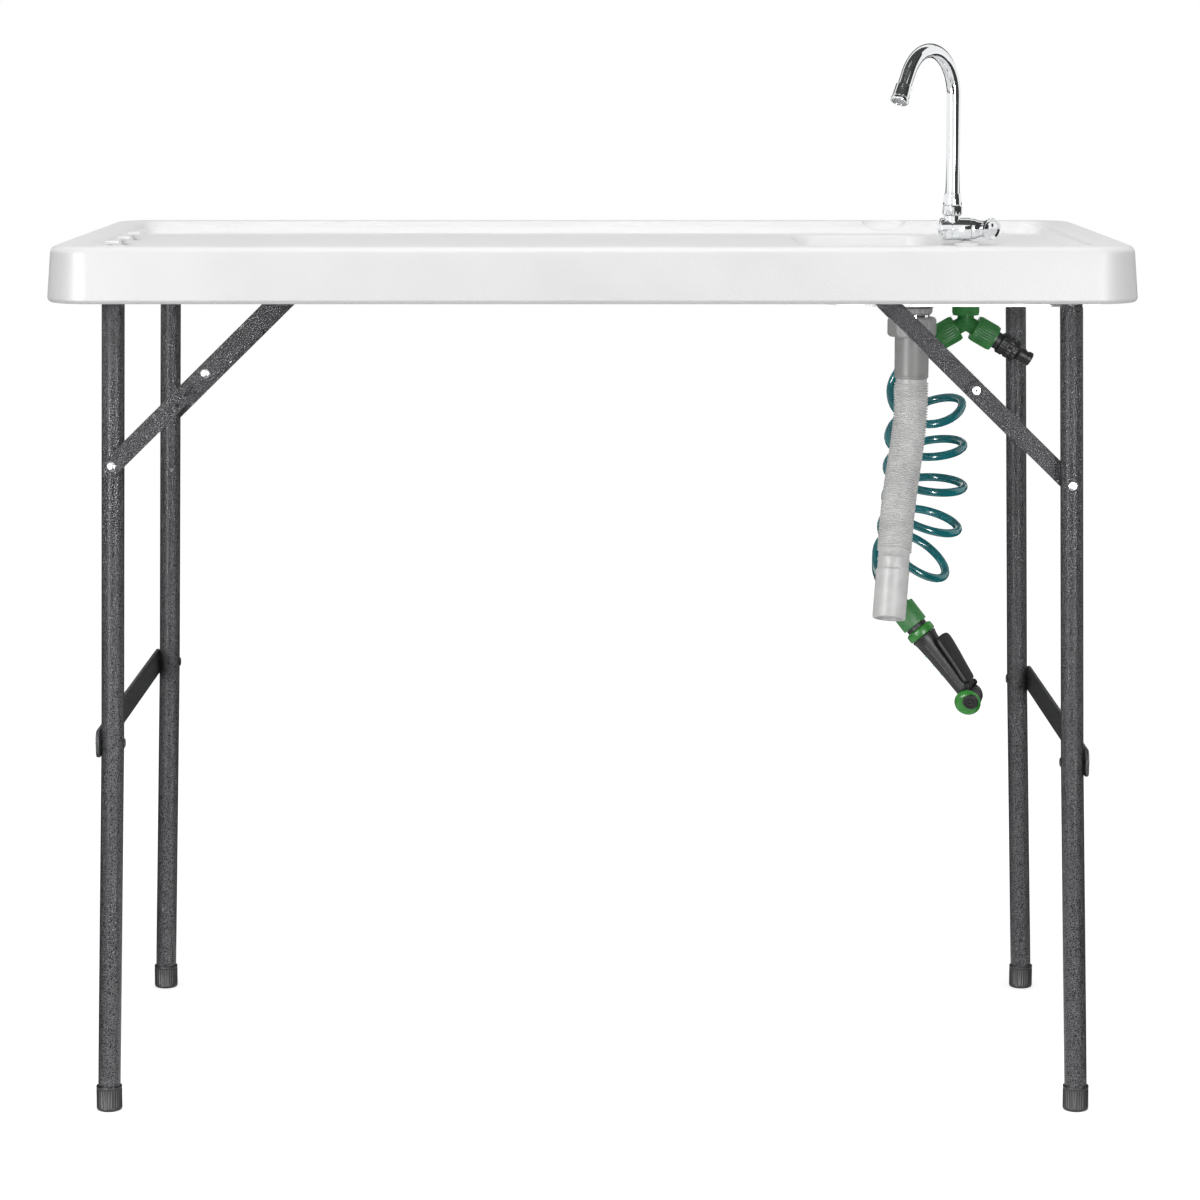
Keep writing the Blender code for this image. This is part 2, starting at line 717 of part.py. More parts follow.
def web_width(side):
    return WEB_LEFT if side.sign == LEFT else WEB_RIGHT


def web_direction(side):
    """Webs reach from the flange towards the legs."""
    return -side.outward


def make_rail(side, end):
    lip = RAIL_LEFT_LIP if side.sign == LEFT else RAIL_RIGHT_LIP
    bottom, top = side.pivot.z - lip, CEILING - FIT
    inner, outer = side.depth(end, RAIL_FLANGE[0]), side.depth(end, RAIL_FLANGE[1])
    edge = inner + end * web_direction(side) * web_width(side)
    outline = [(outer, bottom), (outer, top), (edge, top), (edge, top - RAIL_THICK),
               (inner, top - RAIL_THICK), (inner, bottom)]
    length = RAIL_X[1] - RAIL_X[0]
    middle = side.sign * (RAIL_X[0] + RAIL_X[1]) / 2
    turn = Matrix(((0, 0, 1, middle), (1, 0, 0, 0), (0, 1, 0, 0), (0, 0, 0, 1)))
    rail = plate(f"{side.name}_{END_NAMES[end]}_rail", [outline], length, zinc(), turn)
    reach = Vector((0, 0.02, 0))
    spot = at_depth(side.pivot, inner)
    boolean(rail, rod(f"{rail.name}_rod_hole", spot - reach, spot + reach, hole(ROD_R, 12), steps=12,
                      cutter=True))
    spans = [(UPPER_LINK[0] + FIT, UPPER_LINK[1] + FIT, RIVET_R),
             (UPPER_LINK[1] + FIT, RAIL_FLANGE[1] + RIVET_HEAD * 0.6, RIVET_HEAD_R)]
    boolean(rail, stepped_pin(f"{rail.name}_stud", side.rail_pin, side, end, spans), "UNION")
    return smooth(settle(rail))


def stepped_pin(name, point, side, end, spans):
    """A turned pin along Y from touching spans (from, to, radius), nearest the leg first."""
    profile = [(0, spans[-1][1])]
    for low, high, radius in reversed(spans):
        profile += [(radius, high), (radius, low)]
    profile.append((0, spans[0][0]))
    direction = Vector((0, end * side.outward, 0))
    return turned(name, profile, None, aim(direction, at_depth(point, side.depth(end, 0))), 10,
                  cutter=True)


# Leg frames

def make_leg(side, end):
    y = side.depth(end, 0)
    length = leg_length(side, FOOT_SOLE + FIT + TUBE_R * math.sin(LOWER_SPLAY))
    stations = [-TUBE_TOP, CROSSBAR_DROP, length]
    points = [at_depth(side.along_leg(s), y) for s in stations]
    leg = swept(f"{side.name}_{END_NAMES[end]}_leg", points, TUBE_R, grey_paint(), 4)
    inner = [at_depth(side.along_leg(s), y) for s in (-TUBE_TOP - 0.01, CROSSBAR_DROP, length + 0.01)]
    boolean(leg, swept(f"{leg.name}_bore", inner, TUBE_R - TUBE_WALL, resolution=4, cutter=True))
    reach = Vector((0, 0.03, 0))
    holes = []
    for name, point, radius in (("rod", side.pivot, ROD_R), ("rivet", side.leg_rivet, RIVET_R)):
        spot = at_depth(point, y)
        holes.append(rod(f"{leg.name}_{name}_hole", spot - reach, spot + reach, hole(radius, 8),
                         steps=8, cutter=True))
    spot = at_depth(side.along_leg(CROSSBAR_DROP), y)
    holes.append(rod(f"{leg.name}_bar_hole", spot - Vector((0.03, 0, 0)), spot + Vector((0.03, 0, 0)),
                     hole(RIVET_R, 8), steps=8, cutter=True))
    boolean(leg, joined(f"{leg.name}_holes", holes))
    return smooth(settle(leg), 50)


def leg_length(side, foot_z):
    """Distance along the leg from the pivot down to a height."""
    upper_down = CROSSBAR_DROP * math.cos(UPPER_SPLAY)
    return CROSSBAR_DROP + (side.pivot.z - upper_down - foot_z) / math.cos(LOWER_SPLAY)


def make_foot(side, end):
    centre = side.along_leg(leg_length(side, FOOT_SOLE + FIT))
    bore = TUBE_R + FIT + FOOT_HEIGHT * math.sin(LOWER_SPLAY) / 2 + 0.0001
    profile = [(bore, FOOT_HEIGHT), (FOOT_R - 0.0006, FOOT_HEIGHT)]
    step = (FOOT_HEIGHT - FOOT_SOLE - 0.004) / (FOOT_RIBS * 2)
    for n in range(FOOT_RIBS * 2):
        radius = FOOT_R if n % 2 == 0 else FOOT_R - 0.0005
        profile.append((radius, FOOT_HEIGHT - 0.001 - n * step))
    profile += [(FOOT_R, FOOT_SOLE), (FOOT_R - 0.0006, 0.0016), (FOOT_R - 0.0022, 0),
                (0, 0), (0, FOOT_SOLE), (bore, FOOT_SOLE)]
    tilt_mid = centre + Vector((-side.sign * FOOT_HEIGHT / 2 * math.sin(LOWER_SPLAY), 0, 0))
    place = Matrix.Translation((tilt_mid.x, side.depth(end, 0), 0))
    return turned(f"{side.name}_{END_NAMES[end]}_foot", profile, black_rubber(), place, 12,
                  closed=True)


def make_pivot_rod(side):
    """The cross rod on which a leg frame turns, with a head at each end."""
    outer = RAIL_FLANGE[1] if side.outward > 0 else TUBE_R
    half = LEG_Y + outer + FIT
    profile = [(0, half + ROD_HEAD), (ROD_HEAD_R * 0.8, half + ROD_HEAD), (ROD_HEAD_R, half), (ROD_R, half),
               (ROD_R, -half), (ROD_HEAD_R, -half), (ROD_HEAD_R * 0.8, -half - ROD_HEAD),
               (0, -half - ROD_HEAD)]
    return turned(f"{side.name}_pivot_rod", profile, zinc(), aim((0, 1, 0), side.pivot), 12)


def make_crossbar(side):
    """A flat strap riveted across the outer side of both legs, with round corners."""
    spot = side.along_leg(CROSSBAR_DROP)
    half = LEG_Y + CROSSBAR_OVERHANG
    corner = CROSSBAR_HEIGHT * 0.3
    outline = rounded_loop(half, CROSSBAR_HEIGHT / 2, corner, 3)
    lean = CROSSBAR_HEIGHT / 2 * math.sin(LOWER_SPLAY)
    x = spot.x + side.sign * (TUBE_R + FIT + lean + CROSSBAR_THICK / 2)
    turn = Matrix(((0, 0, 1, x), (1, 0, 0, 0), (0, 1, 0, spot.z), (0, 0, 0, 1)))
    bar = plate(f"{side.name}_crossbar", [outline], CROSSBAR_THICK, grey_paint(), turn)
    out = abs(x - spot.x) + CROSSBAR_THICK / 2 - FIT
    tail = -TUBE_R - FIT
    profile = [(0, out + RIVET_HEAD), (RIVET_HEAD_R * 0.6, out + RIVET_HEAD * 0.85), (RIVET_HEAD_R, out),
               (RIVET_R, out), (RIVET_R, tail), (RIVET_HEAD_R, tail),
               (RIVET_HEAD_R, tail - RIVET_HEAD * 0.6), (0, tail - RIVET_HEAD * 0.6)]
    rivets = [turned(f"{bar.name}_rivet_{END_NAMES[end]}", profile, None,
                     aim((side.sign, 0, 0), at_depth(spot, side.depth(end, 0))), 8, cutter=True)
              for end in (FRONT, REAR)]
    boolean(bar, joined(f"{bar.name}_rivets", rivets), "UNION")
    return smooth(settle(bar))


def make_leg_rivet(side, end):
    """The rivet through a leg that its lower brace link turns on."""
    return domed_rivet(f"{side.name}_{END_NAMES[end]}_leg_rivet", side.leg_rivet, side, end,
                       -TUBE_R - FIT, LOWER_LINK[1] + FIT, RIVET_HEAD * 0.7)


def link_place(start, towards, y, sign):
    """Local X runs along the link, local Y to its side facing the table's corner."""
    along = (towards - start).normalized()
    across = Vector((-along.z * -sign, 0, along.x * -sign))
    normal = along.cross(across)
    return Matrix((
        (along.x, across.x, normal.x, start.x), (along.y, across.y, normal.y, y),
        (along.z, across.z, normal.z, start.z), (0, 0, 0, 1)))


def make_lower_link(side, end):
    """Flat link from the leg rivet to the knee, with a boss that fills the knee's gap."""
    half = LINK_WIDTH / 2
    length = (side.knee - side.leg_rivet).length
    outline = circle(0, 0, half, 6, math.pi / 2, math.pi)
    outline += circle(length, 0, half, 6, -math.pi / 2, math.pi)
    holes = [circle(0, 0, hole(RIVET_R, 10)), circle(length - DIMPLE_BACK, -half * 0.35, DIMPLE_R, 6)]
    y = side.depth(end, (LOWER_LINK[0] + LOWER_LINK[1]) / 2)
    place = link_place(side.leg_rivet, side.knee, y, side.sign)
    link = plate(f"{side.name}_{END_NAMES[end]}_lower_brace", [outline] + holes, LINK_THICK,
                 grey_paint(), place)
    low, high = LOWER_LINK[0] + LINK_THICK / 2, UPPER_LINK[0] - FIT
    boss = rod(f"{link.name}_boss", at_depth(side.knee, side.depth(end, low)),
               at_depth(side.knee, side.depth(end, high)), KNEE_BOSS_R, steps=10, cutter=True)
    boolean(link, boss, "UNION")
    return smooth(settle(link))


def make_upper_link(side, end):
    """Flat link from the rail pin past the knee, ending in a stepped tongue."""
    half = LINK_WIDTH / 2
    length = (side.knee - side.rail_pin).length
    outline = circle(0, 0, half, 6, math.pi / 2, math.pi)
    outline += [(length + TONGUE_SHORT, -half), (length + TONGUE_SHORT, 0),
                (length + TONGUE_LONG, 0), (length + TONGUE_LONG, half)]
    holes = [circle(0, 0, hole(RIVET_R, 10)), circle(length, 0, hole(RIVET_R, 10))]
    y = side.depth(end, (UPPER_LINK[0] + UPPER_LINK[1]) / 2)
    place = link_place(side.rail_pin, side.knee, y, -side.sign)
    return plate(f"{side.name}_{END_NAMES[end]}_upper_brace", [outline] + holes, LINK_THICK,
                 grey_paint(), place)


def make_knee_rivet(side, end):
    """The knee's rivet, held in the upper link and stopping short of the lower one."""
    return domed_rivet(f"{side.name}_{END_NAMES[end]}_knee_rivet", side.knee, side, end,
                       UPPER_LINK[0] + FIT / 2, UPPER_LINK[1] + FIT)


def make_leg_frame(sign):
    side = Side(sign)
    frame = pivot(f"{side.name}_frame_pivot", side.pivot)
    ends = (FRONT, REAR)
    pieces = [make(side, end) for make in (make_leg, make_foot, make_leg_rivet) for end in ends]
    carry(frame, pieces + [make_pivot_rod(side), make_crossbar(side)])
    lower = pivot(f"{side.name}_lower_brace_pivot", side.leg_rivet)
    carry(lower, [make_lower_link(side, end) for end in ends])
    carry(frame, [lower])
    upper = pivot(f"{side.name}_upper_brace_pivot", side.rail_pin)
    carry(upper, [make(side, end) for make in (make_upper_link, make_knee_rivet) for end in ends])
    for end in ends:
        make_rail(side, end)


# Drain

def make_drain():
    here = Matrix.Translation((DRAIN_X, DRAIN_Y, 0))
    top = WELL_FLOOR + FIT
    tail_end = top - TAIL_LENGTH
    strainer = turned("drain_strainer", [
        (0, top + 0.0005), (TAIL_BORE - 0.003, top + 0.0005), (TAIL_R, top + STRAINER_FLANGE * 0.8),
        (STRAINER_R - 0.001, top + STRAINER_FLANGE), (STRAINER_R, top), (TAIL_R, top),
        (TAIL_R, tail_end), (TAIL_BORE, tail_end), (TAIL_BORE, top - 0.0018), (0, top - 0.0018)],
        zinc(), here)
    holes = []
    for x, y in circle(DRAIN_X, DRAIN_Y, STRAINER_HOLE_RING, STRAINER_HOLES):
        holes.append(rod(f"strainer_hole_{len(holes)}", (x, y, top - 0.01), (x, y, top + 0.01),
                         STRAINER_HOLE_R, steps=6, cutter=True))
    boolean(strainer, joined("strainer_holes", holes))
    smooth(settle(strainer))
    bore = TAIL_R + FIT
    under = WELL_UNDER - FIT
    ring("drain_gasket", (DRAIN_X, DRAIN_Y, under - GASKET_THICK), (DRAIN_X, DRAIN_Y, under),
         GASKET_R, bore, black_rubber())
    nut_top = under - GASKET_THICK - FIT
    turned("drain_locknut", [
        (bore, nut_top), (LOCKNUT_R, nut_top), (LOCKNUT_R, nut_top - LOCKNUT_HEIGHT * 0.7),
        (LOCKNUT_R - 0.0022, nut_top - LOCKNUT_HEIGHT), (bore, nut_top - LOCKNUT_HEIGHT)],
        grey_plastic(), here, closed=True)
    union_top = WELL_UNDER - UNION_TOP_DROP
    union_end = union_top - UNION_HEIGHT
    nut = turned("drain_union_nut", [
        (bore, union_top), (UNION_R - 0.0018, union_top), (UNION_R, union_top - 0.0018),
        (UNION_R, union_end + 0.0012), (UNION_R - 0.0012, union_end), (bore, union_end)],
        grey_plastic(), here, closed=True)
    ribs = []
    for n in range(UNION_RIBS):
        turn = Matrix.Rotation(n * math.tau / UNION_RIBS, 4, "Z")
        spot = here @ turn
        rib = block(f"union_rib_{n}", (UNION_R - 0.002, -0.0022, union_end + 0.002),
                    (UNION_R + 0.0011, 0.0022, union_top - 0.003), cutter=True)
        rib.matrix_world = spot
        ribs.append(rib)
    boolean(nut, joined("union_ribs", ribs), "UNION")
    smooth(settle(nut))
    cuff_end = union_end - CUFF_HEIGHT
    turned("drain_upper_cuff", [
        (CUFF_R - CUFF_WALL, tail_end - FIT), (TAIL_R, tail_end - FIT), (TAIL_R, union_end - 0.001),
        (CUFF_R, union_end - 0.0015), (CUFF_R, cuff_end + 0.001), (CUFF_R - 0.001, cuff_end),
        (CUFF_R - CUFF_WALL, cuff_end)],
        grey_plastic(), here, closed=True)
    make_drain_hose(Vector((DRAIN_X, DRAIN_Y, cuff_end)))


def smooth_line(points, samples=40):
    """A centripetal curve through points, as a list of places close together."""
    spots = [Vector(p) for p in points]
    spots = [spots[0] * 2 - spots[1]] + spots + [spots[-1] * 2 - spots[-2]]
    line = []
    for a, b, c, d in zip(spots, spots[1:], spots[2:], spots[3:]):
        for n in range(samples):
            t = n / samples
            line.append(0.5 * (2 * b + (c - a) * t + (2 * a - 5 * b + 4 * c - d) * t ** 2
                               + (3 * b - a - 3 * c + d) * t ** 3))
    return line + [spots[-2]]


def line_length(line):
    return sum((b - a).length for a, b in zip(line, line[1:]))


def at_distance(line, distance):
    """The place a given distance along a line."""
    for a, b in zip(line, line[1:]):
        step = (b - a).length
        if distance <= step:
            return a.lerp(b, distance / step)
        distance -= step
    return line[-1]


def make_drain_hose(start):
    """Ribbed hose with a plain neck and a moulded outlet cuff, open right through."""
    line = smooth_line([start + Vector(step) for step in DRAIN_ROUTE])
    total = line_length(line)
    stations = [(0.0, HOSE_GROOVE_R), (HOSE_START, HOSE_GROOVE_R)]
    for n in range(HOSE_RIBS):
        stations.append((HOSE_START + (n + 0.35) * RIB_PITCH, HOSE_CREST_R))
        stations.append((HOSE_START + (n + 1) * RIB_PITCH, HOSE_GROOVE_R))
    neck = HOSE_START + (HOSE_RIBS + 0.4) * RIB_PITCH
    stations += [(neck, HOSE_NECK_R), (neck + HOSE_NECK, HOSE_NECK_R),
                 (neck + HOSE_NECK + 0.0012, OUTLET_R), (total - 0.001, OUTLET_R - 0.0004),
                 (total, OUTLET_R - 0.0012)]
    points = [at_distance(line, s) for s, _ in stations]
    hose = swept("drain_hose", points, HOSE_CREST_R, pale_plastic(), 2, [r for _, r in stations])
    ends = [line[0] * 2 - line[12]] + [at_distance(line, total * n / 12) for n in range(13)]
    ends.append(line[-1] * 2 - line[-12])
    boolean(hose, swept("cut_hose_bore", ends, HOSE_BORE_R, resolution=2, cutter=True))
    print("drain hose length", round(total, 4))
    return smooth(settle(hose))


# Faucet

def along_x(x):
    return Matrix.Translation((x, 0, TAP_Z)) @ Matrix.Rotation(math.pi / 2, 4, "Y")


def make_faucet():
    flange = FLOOR_Z + FIT
    turned("faucet_base", [
        (0, TAP_Z - TAP_R - FIT), (BASE_NECK_R, TAP_Z - TAP_R - FIT), (BASE_NECK_R, flange + BASE_FLANGE),
        (BASE_FLANGE_R - 0.001, flange + BASE_FLANGE), (BASE_FLANGE_R, flange + BASE_FLANGE - 0.001),
        (BASE_FLANGE_R, flange), (BASE_TAIL_R, flange), (BASE_TAIL_R, BASE_TAIL_END + 0.0006),
        (BASE_TAIL_R - 0.0006, BASE_TAIL_END), (0, BASE_TAIL_END)],
        white_plastic(), Matrix.Translation((FAUCET_X, 0, 0)))
    nut_top = CEILING - FIT
    plate("faucet_mounting_nut", [circle(0, 0, MOUNT_NUT_R, 6), circle(0, 0, BASE_TAIL_R + FIT, 16)],
          MOUNT_NUT_HEIGHT, white_plastic(),
          Matrix.Translation((FAUCET_X, 0, nut_top - MOUNT_NUT_HEIGHT / 2)))
    length = TAP_X[1] - TAP_X[0]
    body = turned("faucet_body", [
        (0, length), (TAP_R - 0.0006, length), (TAP_R, length - 0.0006), (TAP_R, 0.0165),
        (TAP_R - 0.0005, 0.0160), (TAP_R, 0.0155), (TAP_R, 0.005), (TAP_R * 0.93, 0.0022),
        (TAP_R * 0.72, 0.0005), (TAP_R * 0.4, 0), (0, 0)], chrome(), along_x(TAP_X[0]))
    boss = turned("faucet_boss", [(0, BOSS_TOP), (BOSS_R - 0.0005, BOSS_TOP), (BOSS_R, BOSS_TOP - 0.0005),
                                  (BOSS_R, TAP_Z), (0, TAP_Z)], None,
                  Matrix.Translation((SPOUT_X, 0, 0)), 16, cutter=True)
    boolean(body, boss, "UNION")
    smooth(settle(body))
    low, mid, high = BOSS_TOP + FIT, BOSS_TOP + SPOUT_NUT_STEPS[0], BOSS_TOP + SPOUT_NUT_STEPS[1]
    bore = SPOUT_R + FIT
    turned("spout_nut", [(bore, high), (SPOUT_NUT_TOP_R - 0.0008, high), (SPOUT_NUT_TOP_R, high - 0.001),
                         (SPOUT_NUT_R, mid), (SPOUT_NUT_R, low + 0.001), (SPOUT_NUT_R - 0.0008, low),
                         (bore, low)], chrome(), Matrix.Translation((SPOUT_X, 0, 0)), closed=True)
    make_spout()
    make_handle()


def spout_line():
    out = Vector((-math.cos(SPOUT_TURN), -math.sin(SPOUT_TURN), 0))
    up = Vector((0, 0, 1))
    start, end = Vector((SPOUT_X, 0, BOSS_TOP + FIT)), []
    centre = Vector((SPOUT_X, 0, TAP_Z + SPOUT_ARC_RISE)) + out * SPOUT_ARC_R
    steps = 10
    for n in range(steps + 1):
        angle = SPOUT_SWEEP * n / steps
        end.append(centre + SPOUT_ARC_R * (up * math.sin(angle) - out * math.cos(angle)))
    heading = out * math.sin(SPOUT_SWEEP) + up * math.cos(SPOUT_SWEEP)
    return [start] + end + [end[-1] + heading * SPOUT_DROP], heading


def make_spout():
    swivel = pivot("spout_pivot", (SPOUT_X, 0, BOSS_TOP + FIT))
    line, heading = spout_line()
    tube = swept("spout", line, SPOUT_R, chrome(), 3)
    first, last = line[0] - Vector((0, 0, 0.01)), line[-1] + heading * 0.01
    bore = swept("spout_bore", [first] + line[1:-1] + [last], SPOUT_R - SPOUT_WALL, resolution=1,
                 cutter=True)
    boolean(tube, bore)
    smooth(settle(tube), 50)
    seat = line[-1] - heading * 0.004
    place = aim(-heading, line[-1])
    bore_r = SPOUT_R + FIT
    shell = turned("aerator", [
        (bore_r, 0.004), (AERATOR_R - 0.0006, 0.004), (AERATOR_R, 0.003),
        (AERATOR_R, -AERATOR_LENGTH + 0.0085), (AERATOR_R - 0.0006, -AERATOR_LENGTH + 0.0080),
        (AERATOR_RING_R, -AERATOR_LENGTH + 0.0072), (AERATOR_RING_R, -AERATOR_LENGTH + 0.0048),
        (AERATOR_RING_R - 0.0006, -AERATOR_LENGTH + 0.0040), (SCREEN_R + FIT, -AERATOR_LENGTH + 0.0040),
        (SCREEN_R + FIT, -FIT), (bore_r, -FIT)], chrome(), place, 16, closed=True)
    carry(swivel, [tube, shell])
    return seat


def make_handle():
    turn = pivot("handle_pivot", (HANDLE_X[0], 0, TAP_Z))
    length = HANDLE_X[1] - HANDLE_X[0]
    root, waist, end = HANDLE_R
    handle = turned("tap_handle", [
        (0, length + 0.0006), (CAP_R * 0.7, length + 0.0004), (CAP_R, length - 0.0005),
        (CAP_R + 0.0004, length - 0.0010), (CAP_R + 0.0010, length - 0.0001), (end - 0.0010, length),
        (end, length - 0.0022), (end * 0.97, length - 0.008),
        (waist, length * 0.52), (waist, length * 0.40), (root * 0.96, length * 0.14), (root, 0.004),
        (root, 0), (0, 0)], chrome(), along_x(HANDLE_X[0]))
    carry(turn, [handle])


# Y-splitter and supply adaptor

def branch(sign, distance):
    """A point down one branch of the splitter."""
    step = Vector((sign * math.cos(BRANCH_ANGLE), 0, -math.sin(BRANCH_ANGLE)))
    return Vector((FAUCET_X, 0, JUNCTION_Z)) + step * distance


def make_splitter():
    collar_top = BASE_TAIL_END - FIT
    nut_low, nut_high = (JUNCTION_Z + step for step in TOP_NUT)
    body = turned("splitter_body", [
        (0, collar_top), (BASE_TAIL_R, collar_top), (BASE_TAIL_R, nut_low + 0.0008),
        (HUB_R, nut_low + 0.0008), (HUB_R, JUNCTION_Z - 0.001), (HUB_R * 0.8, JUNCTION_Z - HUB_R * 0.6),
        (HUB_R * 0.4, JUNCTION_Z - HUB_R), (0, JUNCTION_Z - HUB_R * 1.1)], green_plastic(),
        Matrix.Translation((FAUCET_X, 0, 0)))
    arms = [rod(f"splitter_arm_{n}", branch(n, 0.0012), branch(n, BRANCH_END), BRANCH_R, cutter=True)
            for n in (LEFT, RIGHT)]
    for arm in arms:
        boolean(body, arm, "UNION")
        settle(body)
    smooth(body)
    turned("splitter_top_nut", nut_profile(TOP_NUT_R, BASE_TAIL_R + FIT, nut_high - nut_low),
           green_plastic(), Matrix.Translation((FAUCET_X, 0, nut_low)), closed=True)
    for sign in (LEFT, RIGHT):
        low, high = OUT_NUT
        place = aim(branch(sign, 1) - branch(sign, 0), branch(sign, low))
        mouth = COIL_TUBE_R + FIT * 2 if sign == LEFT else ADAPTOR_R[1]
        turned(f"splitter_{SIDE_NAMES[sign]}_nut",
               nut_profile(OUT_NUT_R, BRANCH_R + FIT, high - low, mouth), green_plastic(), place,
               closed=True)
    wide, thin = ADAPTOR_R
    start = OUT_NUT[1] + FIT
    step, end = ADAPTOR_STEP, ADAPTOR_END - start
    place = aim(branch(RIGHT, 1) - branch(RIGHT, 0), branch(RIGHT, start))
    profile = [(0, end), (thin - 0.0012, end), (thin, end - 0.0012), (thin, end - 0.005),
               (thin - 0.001, end - 0.006), (thin - 0.001, end - 0.009), (thin, end - 0.010),
               (thin, step + 0.001), (wide - 0.002, step), (wide, step - 0.002)]
    for n in range(2):
        low = step - 0.010 - n * 0.0095
        profile += [(wide, low + 0.003), (wide - 0.0009, low + 0.0024), (wide - 0.0009, low + 0.0008),
                    (wide, low)]
    profile += [(wide, 0), (0, 0)]
    turned("supply_adaptor", profile, black_plastic(), place, 12)


def nut_profile(outer, bore, length, mouth=None):
    """A hose nut: a grip in the middle, a plain lip at each end, and an end wall round the mouth."""
    lip, rise = 0.0022, 0.0007
    profile = [(mouth or bore, length), (outer - rise, length), (outer - rise, length - lip),
               (outer, length - lip - rise), (outer, lip + rise), (outer - rise, lip), (outer - rise, 0),
               (bore, 0)]
    if mouth:
        wall = length - (BRANCH_END + FIT - OUT_NUT[0])
        profile += [(bore, length - wall), (mouth, length - wall)]
    return profile


# Coil hose

def coil_place(turns):
    """A point on the hanging coil; whole turns are at its left extreme."""
    angle = math.tau * turns
    share = turns / COIL_LOOPS
    late = max(0.0, turns - COIL_SHIFT_FROM) / (COIL_LOOPS - COIL_SHIFT_FROM)
    middle = Vector(COIL_CENTRE) + branch(LEFT, 0) + Vector((COIL_SHIFT * late ** 1.5, 0, 0))
    radius = COIL_R + COIL_BULGE * math.sin(math.pi * share) - COIL_SHRINK * late * late
    tilt = COIL_SIDE_TILT[0] * (1 - share) * min(1.0, 2 * turns) + COIL_SIDE_TILT[1] * share
    top, drop, bottom = COIL_FRONT_DROP
    drop += (top - drop) * max(0.0, 1 - 2 * share) ** 2 + (bottom - drop) * max(0.0, 2 * share - 1) ** 2
    down = COIL_PITCH * turns + drop * math.sin(angle) + tilt * math.cos(angle)
    return middle - Vector((radius * math.cos(angle), radius * math.sin(angle), down))


def bridge(start, start_way, end, end_way, count):
    """A smooth run between two places with given directions, ends left out."""
    points = []
    for n in range(1, count):
        t = n / count
        points.append((2 * t ** 3 - 3 * t ** 2 + 1) * start + (t ** 3 - 2 * t ** 2 + t) * start_way
                      + (3 * t ** 2 - 2 * t ** 3) * end + (t ** 3 - t ** 2) * end_way)
    return points


def coil_route():
    """The hose from the splitter's left nut, down the coil and to the spray gun."""
    way_out = (branch(LEFT, 1) - branch(LEFT, 0)).normalized()
    exit_point = branch(LEFT, BRANCH_END + FIT)
    straight = branch(LEFT, OUT_NUT[1]) + way_out * COIL_TUBE_R * 2
    loops = [coil_place(n / COIL_LOOP_POINTS) for n in range(COIL_LOOPS * COIL_LOOP_POINTS + 1)]
    gun_way = Vector(GUN_AXIS).normalized()
    gun_end = gun_frame().translation - gun_way * FIT
    before = gun_end - gun_way * COIL_TUBE_R * 2
    enter = (loops[1] - loops[0]).normalized()
    leave = (loops[-1] - loops[-2]).normalized()
    feed = bridge(straight, way_out * 0.085, loops[0], enter * 0.085, FEED_POINTS)
    tail = bridge(loops[-1], leave * 0.085, before, gun_way * 0.085, TAIL_POINTS)
    return [exit_point, straight] + feed + loops + tail + [before, gun_end]


def least_gap(points, radius, apart):
    """Smallest gap of a tube to itself, between points at least a distance apart along it."""
    along = [0.0]
    for a, b in zip(points, points[1:]):
        along.append(along[-1] + (b - a).length)
    best = 1.0
    for i, a in enumerate(points):
        for j in range(i + 1, len(points)):
            if along[j] - along[i] > apart:
                best = min(best, (points[j] - a).length)
    return best - 2 * radius


def make_coil_hose():
    route = coil_route()
    total = line_length(route)
    hose_end = total - BOOT_LENGTH
    hose_points = [p for n, p in enumerate(route) if line_length(route[:n + 1]) < hose_end - 0.003]
    hose_points.append(at_distance(route, hose_end))
    swept("coil_hose", hose_points, COIL_TUBE_R, teal_plastic(), 1)
    steps = 8
    boot_points = [at_distance(route, hose_end + FIT + (BOOT_LENGTH - FIT) * n / steps)
                   for n in range(steps + 1)]
    radii = [BOOT_R * (0.82 if n == 0 else 0.88 + 0.12 * min(1, n / 5)) for n in range(steps + 1)]
    swept("hose_boot", boot_points, BOOT_R, black_plastic(), 3, radii)
    print("coil hose length with boot", round(total, 4),
          "least gap to itself", round(least_gap(route, COIL_TUBE_R, 0.06), 4))


# Spray gun

def gun_frame():
    """Local Z runs up the gun towards the hose, local X to the lever's side."""
    up = -Vector(GUN_AXIS).normalized()
    side = Vector(LEVER_SIDE)
    side = (side - up * side.dot(up)).normalized()
    across = up.cross(side)
    turn = Matrix((side, across, up)).transposed().to_4x4()
    return Matrix.Translation(branch(LEFT, 0) + Vector(GUN_TOP)) @ turn


